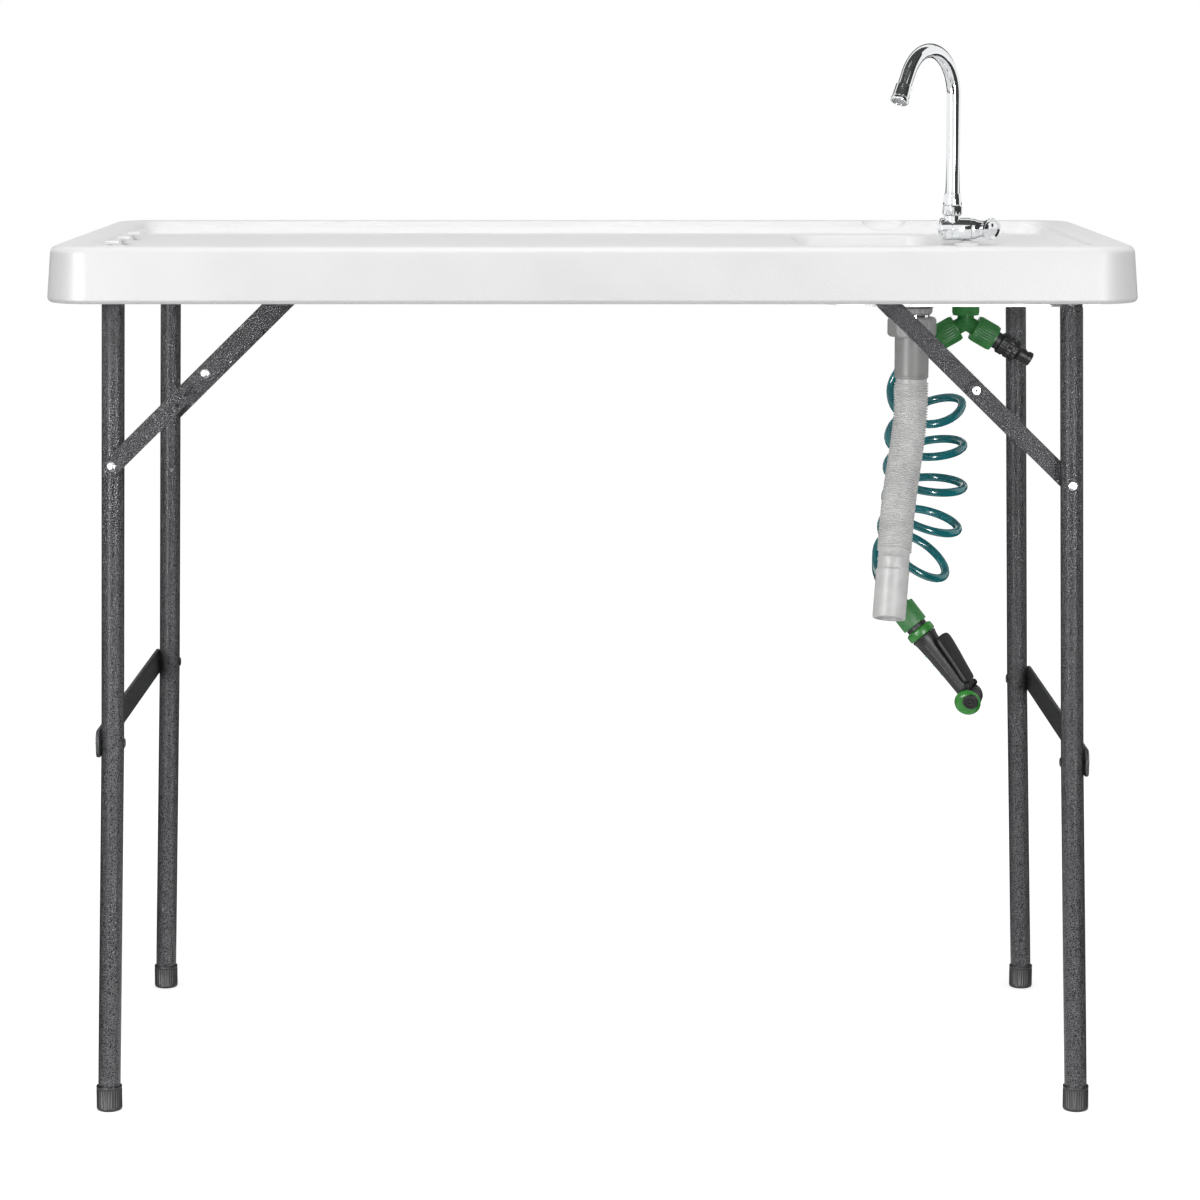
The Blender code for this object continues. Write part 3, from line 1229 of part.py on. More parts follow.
def make_gun():
    place = gun_frame()
    neck_end = COLLAR[0] - FIT
    ring_in = CONNECTOR_R + FIT
    turned("gun_connector", [
        (0, 0), (CONNECTOR_R * 0.8, 0), (CONNECTOR_R, -0.001), (CONNECTOR_R, -SLEEVE[1] - FIT),
        (CONNECTOR_NECK_R, -SLEEVE[1] - FIT), (CONNECTOR_NECK_R, -neck_end), (0, -neck_end)],
        black_plastic(), place)
    sleeve_ribs = [(ring_in, -SLEEVE[0]), (SLEEVE_R - 0.0016, -SLEEVE[0]), (SLEEVE_R, -SLEEVE[0] - 0.0016)]
    for n in range(2):
        z = -SLEEVE[0] - 0.009 - n * 0.0085
        sleeve_ribs += [(SLEEVE_R, z + 0.001), (SLEEVE_R - 0.0006, z), (SLEEVE_R - 0.0006, z - 0.0012),
                        (SLEEVE_R, z - 0.0022)]
    sleeve_ribs += [(SLEEVE_R, -SLEEVE[1] + 0.0012), (SLEEVE_R - 0.0012, -SLEEVE[1]), (ring_in, -SLEEVE[1])]
    turned("connector_sleeve", sleeve_ribs, green_plastic(), place, closed=True)
    turned("gun_collar", [
        (0, -COLLAR[0]), (COLLAR_R - 0.0025, -COLLAR[0]), (COLLAR_R, -COLLAR[0] - 0.0020),
        (COLLAR_R, -COLLAR[1] + 0.0015), (COLLAR_R - 0.0015, -COLLAR[1]), (0, -COLLAR[1])],
        green_plastic(), place)
    make_gun_body(place)
    make_lever(place)
    forward = Vector(NOZZLE_WAY).normalized()
    start = place @ Vector((0, 0, -HEAD_AT)) + forward * (HEAD_FRONT + FIT)
    turned("gun_nozzle", [
        (0, NOZZLE_LENGTH - 0.004), (0.0045, NOZZLE_LENGTH - 0.004), (0.0055, NOZZLE_LENGTH - 0.0012),
        (0.0085, NOZZLE_LENGTH - 0.0004), (NOZZLE_R - 0.0022, NOZZLE_LENGTH),
        (NOZZLE_R, NOZZLE_LENGTH - 0.0024), (NOZZLE_R, 0.0022), (NOZZLE_R - 0.0012, 0), (0, 0)],
        green_plastic(), aim(forward, start))


def make_gun_body(place):
    top, end = GUN_BODY
    taper = [(radius, -top - share * (end - top)) for share, radius in GUN_BODY_SHAPE]
    profile = [(0, -top), (taper[0][0] - 0.001, -top)] + taper + [(taper[-1][0] * 0.8, -HEAD_AT), (0, -HEAD_AT)]
    body = turned("gun_body", profile, black_plastic(), place)
    centre = place @ Vector((0, 0, -HEAD_AT))
    forward = Vector(NOZZLE_WAY).normalized()
    barrel = turned("gun_barrel", [
        (0, HEAD_FRONT), (HEAD_R - 0.001, HEAD_FRONT), (HEAD_R, HEAD_FRONT - 0.001),
        (HEAD_R, -HEAD_BACK * 0.4), (HEAD_R * 0.75, -HEAD_BACK * 0.85), (HEAD_R * 0.35, -HEAD_BACK),
        (0, -HEAD_BACK)], None, aim(forward, centre), 24, cutter=True)
    boolean(body, barrel, "UNION")
    settle(body)
    off, along = LEVER_PIVOT
    half = KNUCKLE_HALF + FIT
    reach = Vector((0, 1, 0))
    ears = []
    for sign in (-1, 1):
        outline = circle(off, -along, EAR_R, 6, -math.pi / 2, math.pi)
        outline += [(off - 0.010, -along + EAR_R), (off - 0.010, -along - EAR_R)]
        middle = sign * (half + EAR_THICK / 2)
        turn = place @ Matrix(((1, 0, 0, 0), (0, 0, 1, middle), (0, 1, 0, 0), (0, 0, 0, 1)))
        ears.append(plate(f"gun_ear_{sign + 1}", [outline], EAR_THICK, None, turn, cutter=True))
    for ear in ears:
        boolean(body, ear, "UNION")
        settle(body)
    spot = Vector((off, 0, -along))
    pin_hole = rod("gun_pin_hole", place @ (spot - reach * 0.02), place @ (spot + reach * 0.02),
                   hole(LEVER_PIN_R, 8), steps=8, cutter=True)
    slot = rod("gun_knuckle_room", place @ (spot - reach * half), place @ (spot + reach * half),
               LEVER_KNUCKLE_R + 2 * FIT, steps=12, cutter=True)
    boolean(body, pin_hole)
    settle(body)
    boolean(body, slot)
    smooth(settle(body))
    return body


def make_lever(place):
    off, along = LEVER_PIVOT
    tip_off, tip_along = LEVER_TIP
    swing = pivot("lever_pivot", place @ Vector((off, 0, -along)))
    half = LEVER_THICK / 2
    outline = []
    steps = 6
    for n in range(steps + 1):
        t = n / steps
        bow = LEVER_BOW * math.sin(math.pi * t)
        centre = Vector((off, -along)).lerp(Vector((tip_off, -tip_along)), t) + Vector((bow, 0))
        outline.append((centre.x + half, centre.y))
    end = Vector((tip_off, -tip_along))
    outline += [(end.x + half * math.cos(a), end.y + half * 1.5 * math.sin(a))
                for a in (math.pi * n / 6 for n in range(1, 6))]
    for n in range(steps, -1, -1):
        t = n / steps
        bow = LEVER_BOW * math.sin(math.pi * t)
        centre = Vector((off, -along)).lerp(Vector((tip_off, -tip_along)), t) + Vector((bow, 0))
        outline.append((centre.x - half, centre.y))
    turn = place @ Matrix(((1, 0, 0, 0), (0, 0, 1, 0), (0, 1, 0, 0), (0, 0, 0, 1)))
    lever = plate("gun_lever", [outline], LEVER_WIDTH, black_plastic(), turn)
    for vert in lever.data.vertices:
        share = min(1.0, max(0.0, (along + vert.co.y) / (along - tip_along)))
        vert.co.z *= (LEVER_ROOT_WIDTH + (LEVER_WIDTH - LEVER_ROOT_WIDTH) * share) / LEVER_WIDTH
    sides = []
    for sign in (-1, 1):
        low = KNUCKLE_HALF if sign > 0 else -LEVER_WIDTH
        trim = block(f"lever_trim_{sign + 1}", (off - 0.012, low, -along - 0.012),
                     (off + 0.012, low + LEVER_WIDTH - KNUCKLE_HALF, -along + EAR_R + 0.0020), cutter=True)
        trim.matrix_world = place
        sides.append(trim)
    boolean(lever, joined("lever_trims", sides))
    settle(lever)
    spot = Vector((off, 0, -along))
    reach = Vector((0, KNUCKLE_HALF, 0))
    knuckle = rod("lever_knuckle", place @ (spot - reach), place @ (spot + reach), LEVER_KNUCKLE_R,
                  steps=12, cutter=True)
    boolean(lever, knuckle, "UNION")
    settle(lever)
    boolean(lever, rod("lever_hole", place @ (spot - reach * 3), place @ (spot + reach * 3),
                       hole(LEVER_PIN_R, 8), steps=8, cutter=True))
    smooth(settle(lever))
    carry(swing, [lever])
    pin_half = KNUCKLE_HALF + FIT + EAR_THICK
    pin = Vector((0, pin_half, 0))
    rod("lever_pin", place @ (spot - pin), place @ (spot + pin), LEVER_PIN_R, zinc(), 10)


clear_scene()
PARTS = new_collection("Sink table")
CUTTERS = new_collection("Cutters")


def main():
    make_tabletop()
    for sign in (LEFT, RIGHT):
        make_leg_frame(sign)
    make_drain()
    make_faucet()
    make_splitter()
    make_coil_hose()
    make_gun()


main()
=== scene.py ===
"""Finishes and fine pieces of a folding camp sink table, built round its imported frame."""
import math

import bmesh
import bpy
from bpy.props import FloatProperty, FloatVectorProperty, IntProperty, PointerProperty
from mathutils import Matrix, Vector


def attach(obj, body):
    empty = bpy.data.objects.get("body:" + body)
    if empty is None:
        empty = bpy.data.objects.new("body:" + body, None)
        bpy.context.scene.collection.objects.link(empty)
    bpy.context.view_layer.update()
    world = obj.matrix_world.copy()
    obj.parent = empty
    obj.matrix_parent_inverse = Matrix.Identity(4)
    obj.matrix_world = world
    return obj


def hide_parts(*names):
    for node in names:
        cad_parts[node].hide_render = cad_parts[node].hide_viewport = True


bl_info = {
    "name": "Folding sink table",
    "version": (1, 0, 0),
    "blender": (4, 5, 0),
    "location": "3D View > Sidebar > Sink table",
    "description": "Builds a folding camp sink table with its faucet, hoses and spray gun",
    "category": "Object",
}

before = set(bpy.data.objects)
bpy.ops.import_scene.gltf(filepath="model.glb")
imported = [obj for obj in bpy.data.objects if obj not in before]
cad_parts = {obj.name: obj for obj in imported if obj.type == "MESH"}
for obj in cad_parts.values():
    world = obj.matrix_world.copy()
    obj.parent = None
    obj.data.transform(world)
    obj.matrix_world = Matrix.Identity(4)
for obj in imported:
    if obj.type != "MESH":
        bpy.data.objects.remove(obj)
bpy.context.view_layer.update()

# Places and sizes of the frame that the pieces follow, in metres
FIT = 0.0003
TOP_LENGTH, TOP_WIDTH, TOP_HEIGHT = 1.155, 0.594, 0.940
SKIRT_BOTTOM, CEILING, FLOOR_Z = 0.880, 0.920, 0.9255
SKIRT_WALL, SKIRT_DRAFT, TOP_CORNER = 0.005, 0.0037, 0.048
RIM_X, RIM_Y, RECESS_CORNER, RECESS_SLOPE = 0.040, 0.035, 0.030, 0.007
BASIN_MIDDLE, BASIN_HALF = (0.315, 0.0), (0.080, 0.220)
BASIN_FLOOR, BASIN_WALL, BASIN_CORNER = 0.8775, 0.004, 0.030
BASIN_FILLET, BASIN_LEAN = 0.010, 0.004
WELL_R, WELL_FLOOR = 0.0275, 0.866
WELL_UNDER = WELL_FLOOR - BASIN_WALL
LEDGE_DROP = 0.0066
SCOOP_PLACE, SCOOP_SIZE = (0.348, 0.262, 0.940), (0.026, 0.014, 0.0135)
DRAIN_PLACE, DRAIN_HOLE = (0.3555, -0.060), 0.0205
FAUCET_X, SPOUT_X, TAP_Z = 0.4215, 0.4049, 0.9438
DECK_HOLE = 0.0105
TAP_X, HANDLE_X = (0.3881, 0.4254), (0.4257, 0.4610)
BOSS_TOP, JUNCTION_Z = 0.9590, 0.8385
LEG_Y, PIVOT_X = 0.255, 0.507
TUBE_R, TUBE_WALL, TUBE_TOP = 0.0122, 0.0012, 0.0075
UPPER_SPLAY, LOWER_SPLAY = math.radians(1.0), math.radians(1.5)
CROSSBAR_DROP, CROSSBAR_HEIGHT, CROSSBAR_THICK = 0.500, 0.030, 0.004
CROSSBAR_OVERHANG = 0.0125
FOOT_R, FOOT_HEIGHT, FOOT_SOLE = 0.014, 0.027, 0.0045
BRACE_REACH, LINK_WIDTH, LINK_THICK = 0.1995, 0.0195, 0.002
LINK_HOLE_BACK, LINK_HOLE_R = 0.046, 0.0021
LINK_NOTCH, LINK_TIP = 0.020, 0.034    # past the knee, on the upper link
RIVET_R, RIVET_HEAD_R, RIVET_HEAD = 0.003, 0.0052, 0.0020
LOWER_LINK, UPPER_LINK, RAIL_FLANGE = (0.0127, 0.0147), (0.0176, 0.0196), (0.0229, 0.0249)
RAIL_X = (0.2588, 0.5405)
LEFT, RIGHT, FRONT, REAR = -1, 1, -1, 1
SIDES, ENDS = {LEFT: "left", RIGHT: "right"}, {FRONT: "front", REAR: "rear"}
PIVOT_Z = {LEFT: 0.905, RIGHT: 0.884}
BRACE_SIDE = {LEFT: 1, RIGHT: -1}
BRANCH_ANGLE, BRANCH_END, OUT_NUT = math.radians(30), 0.0360, (0.0115, 0.0380)

# Coil hose, repeated from the part
COIL_R, COIL_TUBE_R, COIL_LOOPS, COIL_LOOP_POINTS = 0.0400, 0.00475, 5, 36
COIL_CENTRE = (-0.0427, 0.0150, -0.0840)
COIL_BULGE, COIL_SHIFT, COIL_SHRINK, COIL_SHIFT_FROM = 0.0040, -0.0200, 0.0050, 2.6
COIL_PITCH = 0.0411
COIL_FRONT_DROP, COIL_SIDE_TILT = (0.0205, 0.0130, 0.0330), (0.0150, -0.0182)
BOOT_LENGTH, BOOT_R = 0.058, 0.0062

# Drain hose, repeated from the part
CUFF_END = 0.7809
DRAIN_ROUTE = (
    (0.0000, 0.0000, -0.0005), (-0.0002, -0.0002, -0.0209), (-0.0009, -0.0012, -0.0429),
    (-0.0050, -0.0080, -0.0759), (-0.0118, -0.0200, -0.1159), (-0.0170, -0.0330, -0.1509),
    (-0.0210, -0.0460, -0.1889), (-0.0247, -0.0585, -0.2249), (-0.0282, -0.0700, -0.2609),
)
HOSE_START, HOSE_RIBS, RIB_PITCH = 0.0048, 69, 0.0028
HOSE_CREST, HOSE_GROOVE, HOSE_BORE = 0.0193, 0.0174, 0.0152
HOSE_NECK_R, HOSE_NECK, OUTLET_R = 0.0174, 0.019, 0.0188

# Spray gun
GUN_TOP = (-0.0795, -0.0800, -0.3090)
GUN_AXIS = (0.610, -0.200, -0.780)
LEVER_SIDE = (0.760, -0.650, 0.0)
NOZZLE_WAY = (-0.280, -0.900, -0.320)
GUN_TAPER = ((0.0, 0.0150), (0.09, 0.0134), (0.34, 0.0118), (0.70, 0.0104), (1.0, 0.0097))
GUN_BODY, HEAD_AT = (0.0458, 0.1205), 0.1305


def to_linear(code):
    """An sRGB hex colour as three linear values."""
    parts = [int(code[i:i + 2], 16) / 255 for i in (1, 3, 5)]
    return tuple(c / 12.92 if c <= 0.04045 else ((c + 0.055) / 1.055) ** 2.4 for c in parts)


# What a user may change

def length_setting(name, description, default):
    """A length that a user may change, in metres."""
    return FloatProperty(name=name, description=description, default=default, min=0.0,
                         precision=5, unit="LENGTH", subtype="DISTANCE")


def colour_setting(name, description, code):
    """A colour that a user may change."""
    return FloatVectorProperty(name=name, description=description, default=to_linear(code),
                               size=3, min=0.0, max=1.0, subtype="COLOR")


class SinkTableSizes(bpy.types.PropertyGroup):
    """Small sizes that only the eye sees."""
    top_edge: length_setting("Top edge", "Radius along the tabletop's outer top edge", 0.008)
    lip_edge: length_setting("Inner lip", "Radius where the rim rolls into the recess", 0.004)
    plate_edge: length_setting("Plate edge", "Rounding on the edges of links and straps", 0.0005)
    hammer_cell: length_setting("Hammertone cell", "Width of one cell of the enamel", 0.0010)
    moulded_grain: length_setting("Moulded grain", "Grain of the tabletop's skin", 0.0022)
    nut_rib: length_setting("Nut rib", "Height of the ribs on the hose nuts", 0.0005)
    nut_ribs: IntProperty(name="Nut ribs", description="Ribs round a hose nut", default=36,
                          min=8, max=72)
    screw_head: length_setting("Screw head", "Radius of the rail screws' heads", 0.0032)


class SinkTableColours(bpy.types.PropertyGroup):
    """Colours of the finishes."""
    white: colour_setting("Tabletop", "White polyethylene of the tabletop", "#f3f3f3")
    nylon_white: colour_setting("Tap base", "White nylon of the tap's base and nut", "#ececeb")
    enamel: colour_setting("Enamel", "Dark part of the hammertone enamel", "#1d1d1f")
    enamel_light: colour_setting("Enamel fleck", "Light part of the enamel", "#7e7e80")
    zinc: colour_setting("Zinc", "Zinc plate on rails and rivets", "#e4e5e7")
    chrome: colour_setting("Chrome", "Chrome plate on the tap", "#eceeef")
    rubber: colour_setting("Rubber", "Foot caps and the gasket", "#141415")
    pipe_grey: colour_setting("Drain fittings", "Grey fittings below the basin", "#b8b8b7")
    hose_grey: colour_setting("Drain hose", "Pale ribbed hose", "#f8f8f7")
    green: colour_setting("Green", "Green hose fittings", "#3c9847")
    green_bright: colour_setting("Bright green", "Gun collar and nozzle", "#3a9f3a")
    black: colour_setting("Black", "Black body of the gun and the adaptor", "#1d1e21")
    teal: colour_setting("Coil hose", "Teal coil hose", "#198b93")


def sizes():
    """The lengths as they are set now."""
    return bpy.context.scene.sink_table_sizes


def colours():
    """The colours as they are set now."""
    return bpy.context.scene.sink_table_colours


# Finishes

def add_node(tree, kind, inputs=None, **settings):
    """Adds a node with its settings. inputs maps a socket to a value or to another node's output."""
    node = tree.nodes.new(kind)
    for name, value in settings.items():
        setattr(node, name, value)
    for socket, value in (inputs or {}).items():
        if isinstance(value, bpy.types.NodeSocket):
            tree.links.new(value, node.inputs[socket])
        else:
            node.inputs[socket].default_value = value
    return node


def start_finish(name, colour, roughness, metallic=0.0, **sockets):
    """A new material and its shader, with the constant values set on it."""
    made = bpy.data.materials.new(name)
    made.use_nodes = True
    shader = made.node_tree.nodes["Principled BSDF"]
    shader.inputs["Base Color"].default_value = (*colour, 1)
    shader.inputs["Roughness"].default_value = roughness
    shader.inputs["Metallic"].default_value = metallic
    for socket, value in sockets.items():
        shader.inputs[socket.replace("_", " ")].default_value = value
    made.diffuse_color = (*colour, 1)
    return made, shader


def grain(made, shader, size, colour=None, roughness=None, bump=None, cells=False, detail=2.0,
          stretch=(1, 1, 1), sharp=(0.3, 0.7)):
    """Varies a finish over patches of a real size in metres."""
    tree = made.node_tree
    place = add_node(tree, "ShaderNodeTexCoord")
    spread = add_node(tree, "ShaderNodeMapping", {0: place.outputs["Object"], 3: stretch})
    if cells:
        pattern = add_node(tree, "ShaderNodeTexVoronoi", {"Vector": spread.outputs[0],
                           "Scale": 1 / size, "Smoothness": 0.6}, feature="SMOOTH_F1")
    else:
        pattern = add_node(tree, "ShaderNodeTexNoise", {"Vector": spread.outputs[0],
                           "Scale": 1 / size, "Detail": detail, "Roughness": 0.55})
    level = add_node(tree, "ShaderNodeMapRange", {0: pattern.outputs[0], 1: sharp[0], 2: sharp[1]})
    if colour:
        mix = add_node(tree, "ShaderNodeMix", {0: level.outputs[0], 6: (*colour[0], 1),
                       7: (*colour[1], 1)}, data_type="RGBA")
        tree.links.new(mix.outputs[2], shader.inputs["Base Color"])
    if roughness:
        rough = add_node(tree, "ShaderNodeMapRange", {0: level.outputs[0], 3: roughness[0],
                         4: roughness[1]})
        tree.links.new(rough.outputs[0], shader.inputs["Roughness"])
    if bump:
        below = {"Strength": bump[0], "Distance": bump[1], "Height": level.outputs[0]}
        if shader.inputs["Normal"].is_linked:
            below["Normal"] = shader.inputs["Normal"].links[0].from_socket
        relief = add_node(tree, "ShaderNodeBump", below)
        tree.links.new(relief.outputs[0], shader.inputs["Normal"])
    return made


def shaded(colour, share):
    """A colour made darker or lighter."""
    return tuple(c * share for c in colour)


def blow_moulded_polyethylene(colour, name, grain_size):
    """High-density polyethylene blown into a mould: a soft satin with a fine even grain."""
    made, shader = start_finish(name, colour, 0.42, IOR=1.54)
    grain(made, shader, 0.070, (shaded(colour, 0.975), colour), (0.38, 0.50))
    return grain(made, shader, grain_size, bump=(0.22, 0.0003), detail=1.0)


def moulded_plastic(colour, name, roughness, grain_size=0.004, bump=0.05):
    """Injection-moulded plastic: smooth, with faint flow marks and slightly uneven gloss."""
    made, shader = start_finish(name, colour, roughness, IOR=1.46)
    grain(made, shader, 0.018, (shaded(colour, 0.86), colour), (roughness, roughness + 0.10))
    return grain(made, shader, grain_size, bump=(bump, 0.0002), detail=1.0)


def hammertone_enamel():
    """Baked hammertone enamel on steel: small dimpled cells, light metal flecks in a dark film."""
    dark, light = tuple(colours().enamel), tuple(colours().enamel_light)
    made, shader = start_finish("hammertone_enamel_on_steel", dark, 0.30, 0.55,
                                Specular_IOR_Level=0.45)
    return grain(made, shader, sizes().hammer_cell, (light, dark), (0.24, 0.36), (0.8, 0.0006),
                 cells=True, sharp=(0.16, 0.60))


def zinc_plate():
    """Bright zinc plate on pressed steel: metallic with a faint cloudy bloom."""
    colour = tuple(colours().zinc)
    made, shader = start_finish("bright_zinc_plate_on_steel", colour, 0.30, 1.0)
    return grain(made, shader, 0.006, (shaded(colour, 0.8), colour), (0.24, 0.38), (0.05, 0.0002))


def chrome_plate():
    """Chrome plate on polished brass: a mirror, with slight smears from handling."""
    colour = tuple(colours().chrome)
    made, shader = start_finish("chrome_plate_on_brass", colour, 0.05, 1.0)
    return grain(made, shader, 0.012, roughness=(0.03, 0.09), detail=3.0)


def moulded_rubber():
    """Moulded black rubber: matt, with a dusty bloom."""
    colour = tuple(colours().rubber)
    made, shader = start_finish("moulded_black_rubber", colour, 0.5, IOR=1.52)
    grain(made, shader, 0.010, (shaded(colour, 0.7), shaded(colour, 1.3)), (0.42, 0.56))
    return grain(made, shader, 0.0012, bump=(0.2, 0.0002), detail=1.0)


def eroded_green_grip():
    """Green ABS moulded in a spark-eroded tool: a coarse matt texture that fingers hold."""
    colour = tuple(colours().green)
    made, shader = start_finish("spark_eroded_green_abs", colour, 0.52, IOR=1.54)
    # Real texture is about 0.4 mm; it is drawn at 1 mm so that it shows
    return grain(made, shader, 0.0010, (shaded(colour, 0.62), shaded(colour, 1.35)), (0.45, 0.6),
                 (0.3, 0.0003))


def extruded_polyurethane():
    """Extruded polyurethane tube: glossy and faintly translucent, with long bright streaks."""
    colour = tuple(colours().teal)
    made, shader = start_finish("extruded_teal_polyurethane", colour, 0.16, IOR=1.50,
                                Coat_Weight=0.3, Coat_Roughness=0.05)
    return grain(made, shader, 0.030, (shaded(colour, 0.72), shaded(colour, 1.12)), (0.12, 0.22))


def finish(name):
    """Each finish by its short name, made once."""
    full = FINISHES[name]
    return bpy.data.materials.get(full[0]) or full[1]()


FINISHES = {
    "white_hdpe": ("blow_moulded_white_polyethylene", lambda: blow_moulded_polyethylene(
        tuple(colours().white), "blow_moulded_white_polyethylene", sizes().moulded_grain)),
    "white_plastic": ("moulded_white_nylon", lambda: moulded_plastic(
        tuple(colours().nylon_white), "moulded_white_nylon", 0.35)),
    "hammertone_paint": ("hammertone_enamel_on_steel", hammertone_enamel),
    "zinc_steel": ("bright_zinc_plate_on_steel", zinc_plate),
    "chrome_plate": ("chrome_plate_on_brass", chrome_plate),
    "black_rubber": ("moulded_black_rubber", moulded_rubber),
    "grey_pvc": ("moulded_grey_pvc", lambda: moulded_plastic(
        tuple(colours().pipe_grey), "moulded_grey_pvc", 0.42)),
    "pale_pe": ("corrugated_pale_polyethylene", lambda: moulded_plastic(
        tuple(colours().hose_grey), "corrugated_pale_polyethylene", 0.40, 0.006, 0.03)),
    "green_abs": ("moulded_green_abs", lambda: moulded_plastic(
        tuple(colours().green), "moulded_green_abs", 0.34)),
    "green_bright": ("moulded_bright_green_abs", lambda: moulded_plastic(
        tuple(colours().green_bright), "moulded_bright_green_abs", 0.30)),
    "green_grip": ("spark_eroded_green_abs", eroded_green_grip),
    "black_nylon": ("glass_filled_black_nylon", lambda: moulded_plastic(
        tuple(colours().black), "glass_filled_black_nylon", 0.42, 0.0015, 0.15)),
    "teal_hose": ("extruded_teal_polyurethane", extruded_polyurethane),
}


# Mesh tools

def finish_piece(work, name, body, slot, replaces=(), look=None, edge=0.0, sharp=32):
    """Turns a worked mesh into a piece that rides on a body. edge rounds its sharp edges."""
    data = bpy.data.meshes.new(name)
    bmesh.ops.recalc_face_normals(work, faces=work.faces)
    work.to_mesh(data)
    work.free()
    return finish_mesh(data, name, body, slot, replaces, look, edge, sharp)


def finish_mesh(data, name, body, slot, replaces=(), look=None, edge=0.0, sharp=32):
    """Turns mesh data into a piece with its finish and its body."""
    data.shade_smooth()
    if not edge:
        data.set_sharp_from_angle(angle=math.radians(sharp))
    data.materials.clear()
    data.materials.append(finish(look or slot))
    piece = bpy.data.objects.new(name, data)
    bpy.context.scene.collection.objects.link(piece)
    if edge:
        soften = piece.modifiers.new("rounded edges", "BEVEL")
        soften.width, soften.segments = edge, 2
        soften.limit_method, soften.angle_limit = "ANGLE", math.radians(sharp)
        piece.modifiers.new("even shading", "WEIGHTED_NORMAL").keep_sharp = True
    if replaces:
        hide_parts(*replaces)
    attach(piece, body)
    return piece


def turned_piece(name, body, slot, replaces, profile, place, steps, form=None, closed=False,
                 look=None, sharp=32):
    """A piece that is one turned form."""
    work = bmesh.new()
    turn_profile(work, profile, place, steps, form, closed)
    return finish_piece(work, name, body, slot, replaces, look, sharp=sharp)


def skin(work, rows, closed=False, caps=True):
    """Faces between rows of vertices. A row of one vertex closes to a point."""
    pairs = list(zip(rows, rows[1:]))
    if closed:
        pairs.append((rows[-1], rows[0]))
    for upper, lower in pairs:
        count = max(len(upper), len(lower))
        for i in range(count):
            j = (i + 1) % count
            if len(upper) == 1:
                work.faces.new((upper[0], lower[i], lower[j]))
            elif len(lower) == 1:
                work.faces.new((upper[i], lower[0], upper[j]))
            else:
                work.faces.new((upper[i], lower[i], lower[j], upper[j]))
    if caps and not closed:
        for row in (rows[0], rows[-1]):
            if len(row) > 2:
                work.faces.new(row)
    return work


def turn_profile(work, profile, place=None, steps=32, form=None, closed=False):
    """A turned form. form(angle, row) may add to the radius and the height of a point."""
    place = place or Matrix()
    rows = []
    for n, (radius, height) in enumerate(profile):
        count = 1 if radius < 1e-7 else steps
        row = []
        for i in range(count):
            angle = math.tau * i / steps
            out, up = form(angle, n) if form and count > 1 else (0.0, 0.0)
            spot = Vector(((radius + out) * math.cos(angle), (radius + out) * math.sin(angle),
                           height + up))
            row.append(work.verts.new(place @ spot))
        rows.append(row)
    return skin(work, rows, closed)


def sweep(work, stations, steps=24, form=None, closed=False, caps=True):
    """A tube through (place, direction, radius) stations, kept from twisting."""
    rows, across = [], None
    for n, (spot, way, radius) in enumerate(stations):
        way = way.normalized()
        if across is None:
            across = way.orthogonal()
        across = (across - way * across.dot(way)).normalized()
        other = way.cross(across)
        row = []
        for i in range(steps):
            angle = math.tau * i / steps
            out = radius + (form(angle, n) if form else 0.0)
            row.append(work.verts.new(spot + (across * math.cos(angle) + other * math.sin(angle)) * out))
        rows.append(row)
    return skin(work, rows, closed, caps)


def rectangle_loop(half_x, half_y, corner, z=0.0, middle=(0.0, 0.0), steps=12):
    """A rectangle with round corners, level at a height."""
    corner = max(corner, 0.0005)
    points = []
    for quarter, (sx, sy) in enumerate(((1, 1), (-1, 1), (-1, -1), (1, -1))):
        cx, cy = middle[0] + sx * (half_x - corner), middle[1] + sy * (half_y - corner)
        for i in range(steps + 1):
            angle = (quarter + i / steps) * math.pi / 2
            points.append(Vector((cx + corner * math.cos(angle), cy + corner * math.sin(angle), z)))
    return points


def arc(centre, radius, start, end, steps):
    """Points of an arc as (across, up) pairs, with angles in degrees."""
    return [(centre[0] + radius * math.cos(math.radians(start + (end - start) * n / steps)),
             centre[1] + radius * math.sin(math.radians(start + (end - start) * n / steps)))
            for n in range(steps + 1)]


def round_plate(outlines, thickness, place, edge):
    """A flat plate from outlines, the first the outer one, with its edges rounded."""
    data = bpy.data.curves.new("plate_outline", "CURVE")
    data.dimensions, data.fill_mode = "2D", "BOTH"
    data.extrude, data.bevel_depth, data.bevel_resolution = thickness / 2 - edge, edge, 1
    data.offset = -edge
    for outline in outlines:
        line = data.splines.new("POLY")
        line.points.add(len(outline) - 1)
        for spot, (x, y) in zip(line.points, outline):
            spot.co = (x, y, 0, 1)
        line.use_cyclic_u = True
    held = bpy.data.objects.new("plate_outline", data)
    bpy.context.scene.collection.objects.link(held)
    held.matrix_world = place
    made = mesh_of(held)
    made.transform(place)
    bpy.data.objects.remove(held, do_unlink=True)
    return made


def mesh_of(held):
    """The mesh of an object after its modifiers."""
    bpy.context.view_layer.update()
    graph = bpy.context.evaluated_depsgraph_get()
    return bpy.data.meshes.new_from_object(held.evaluated_get(graph), depsgraph=graph)


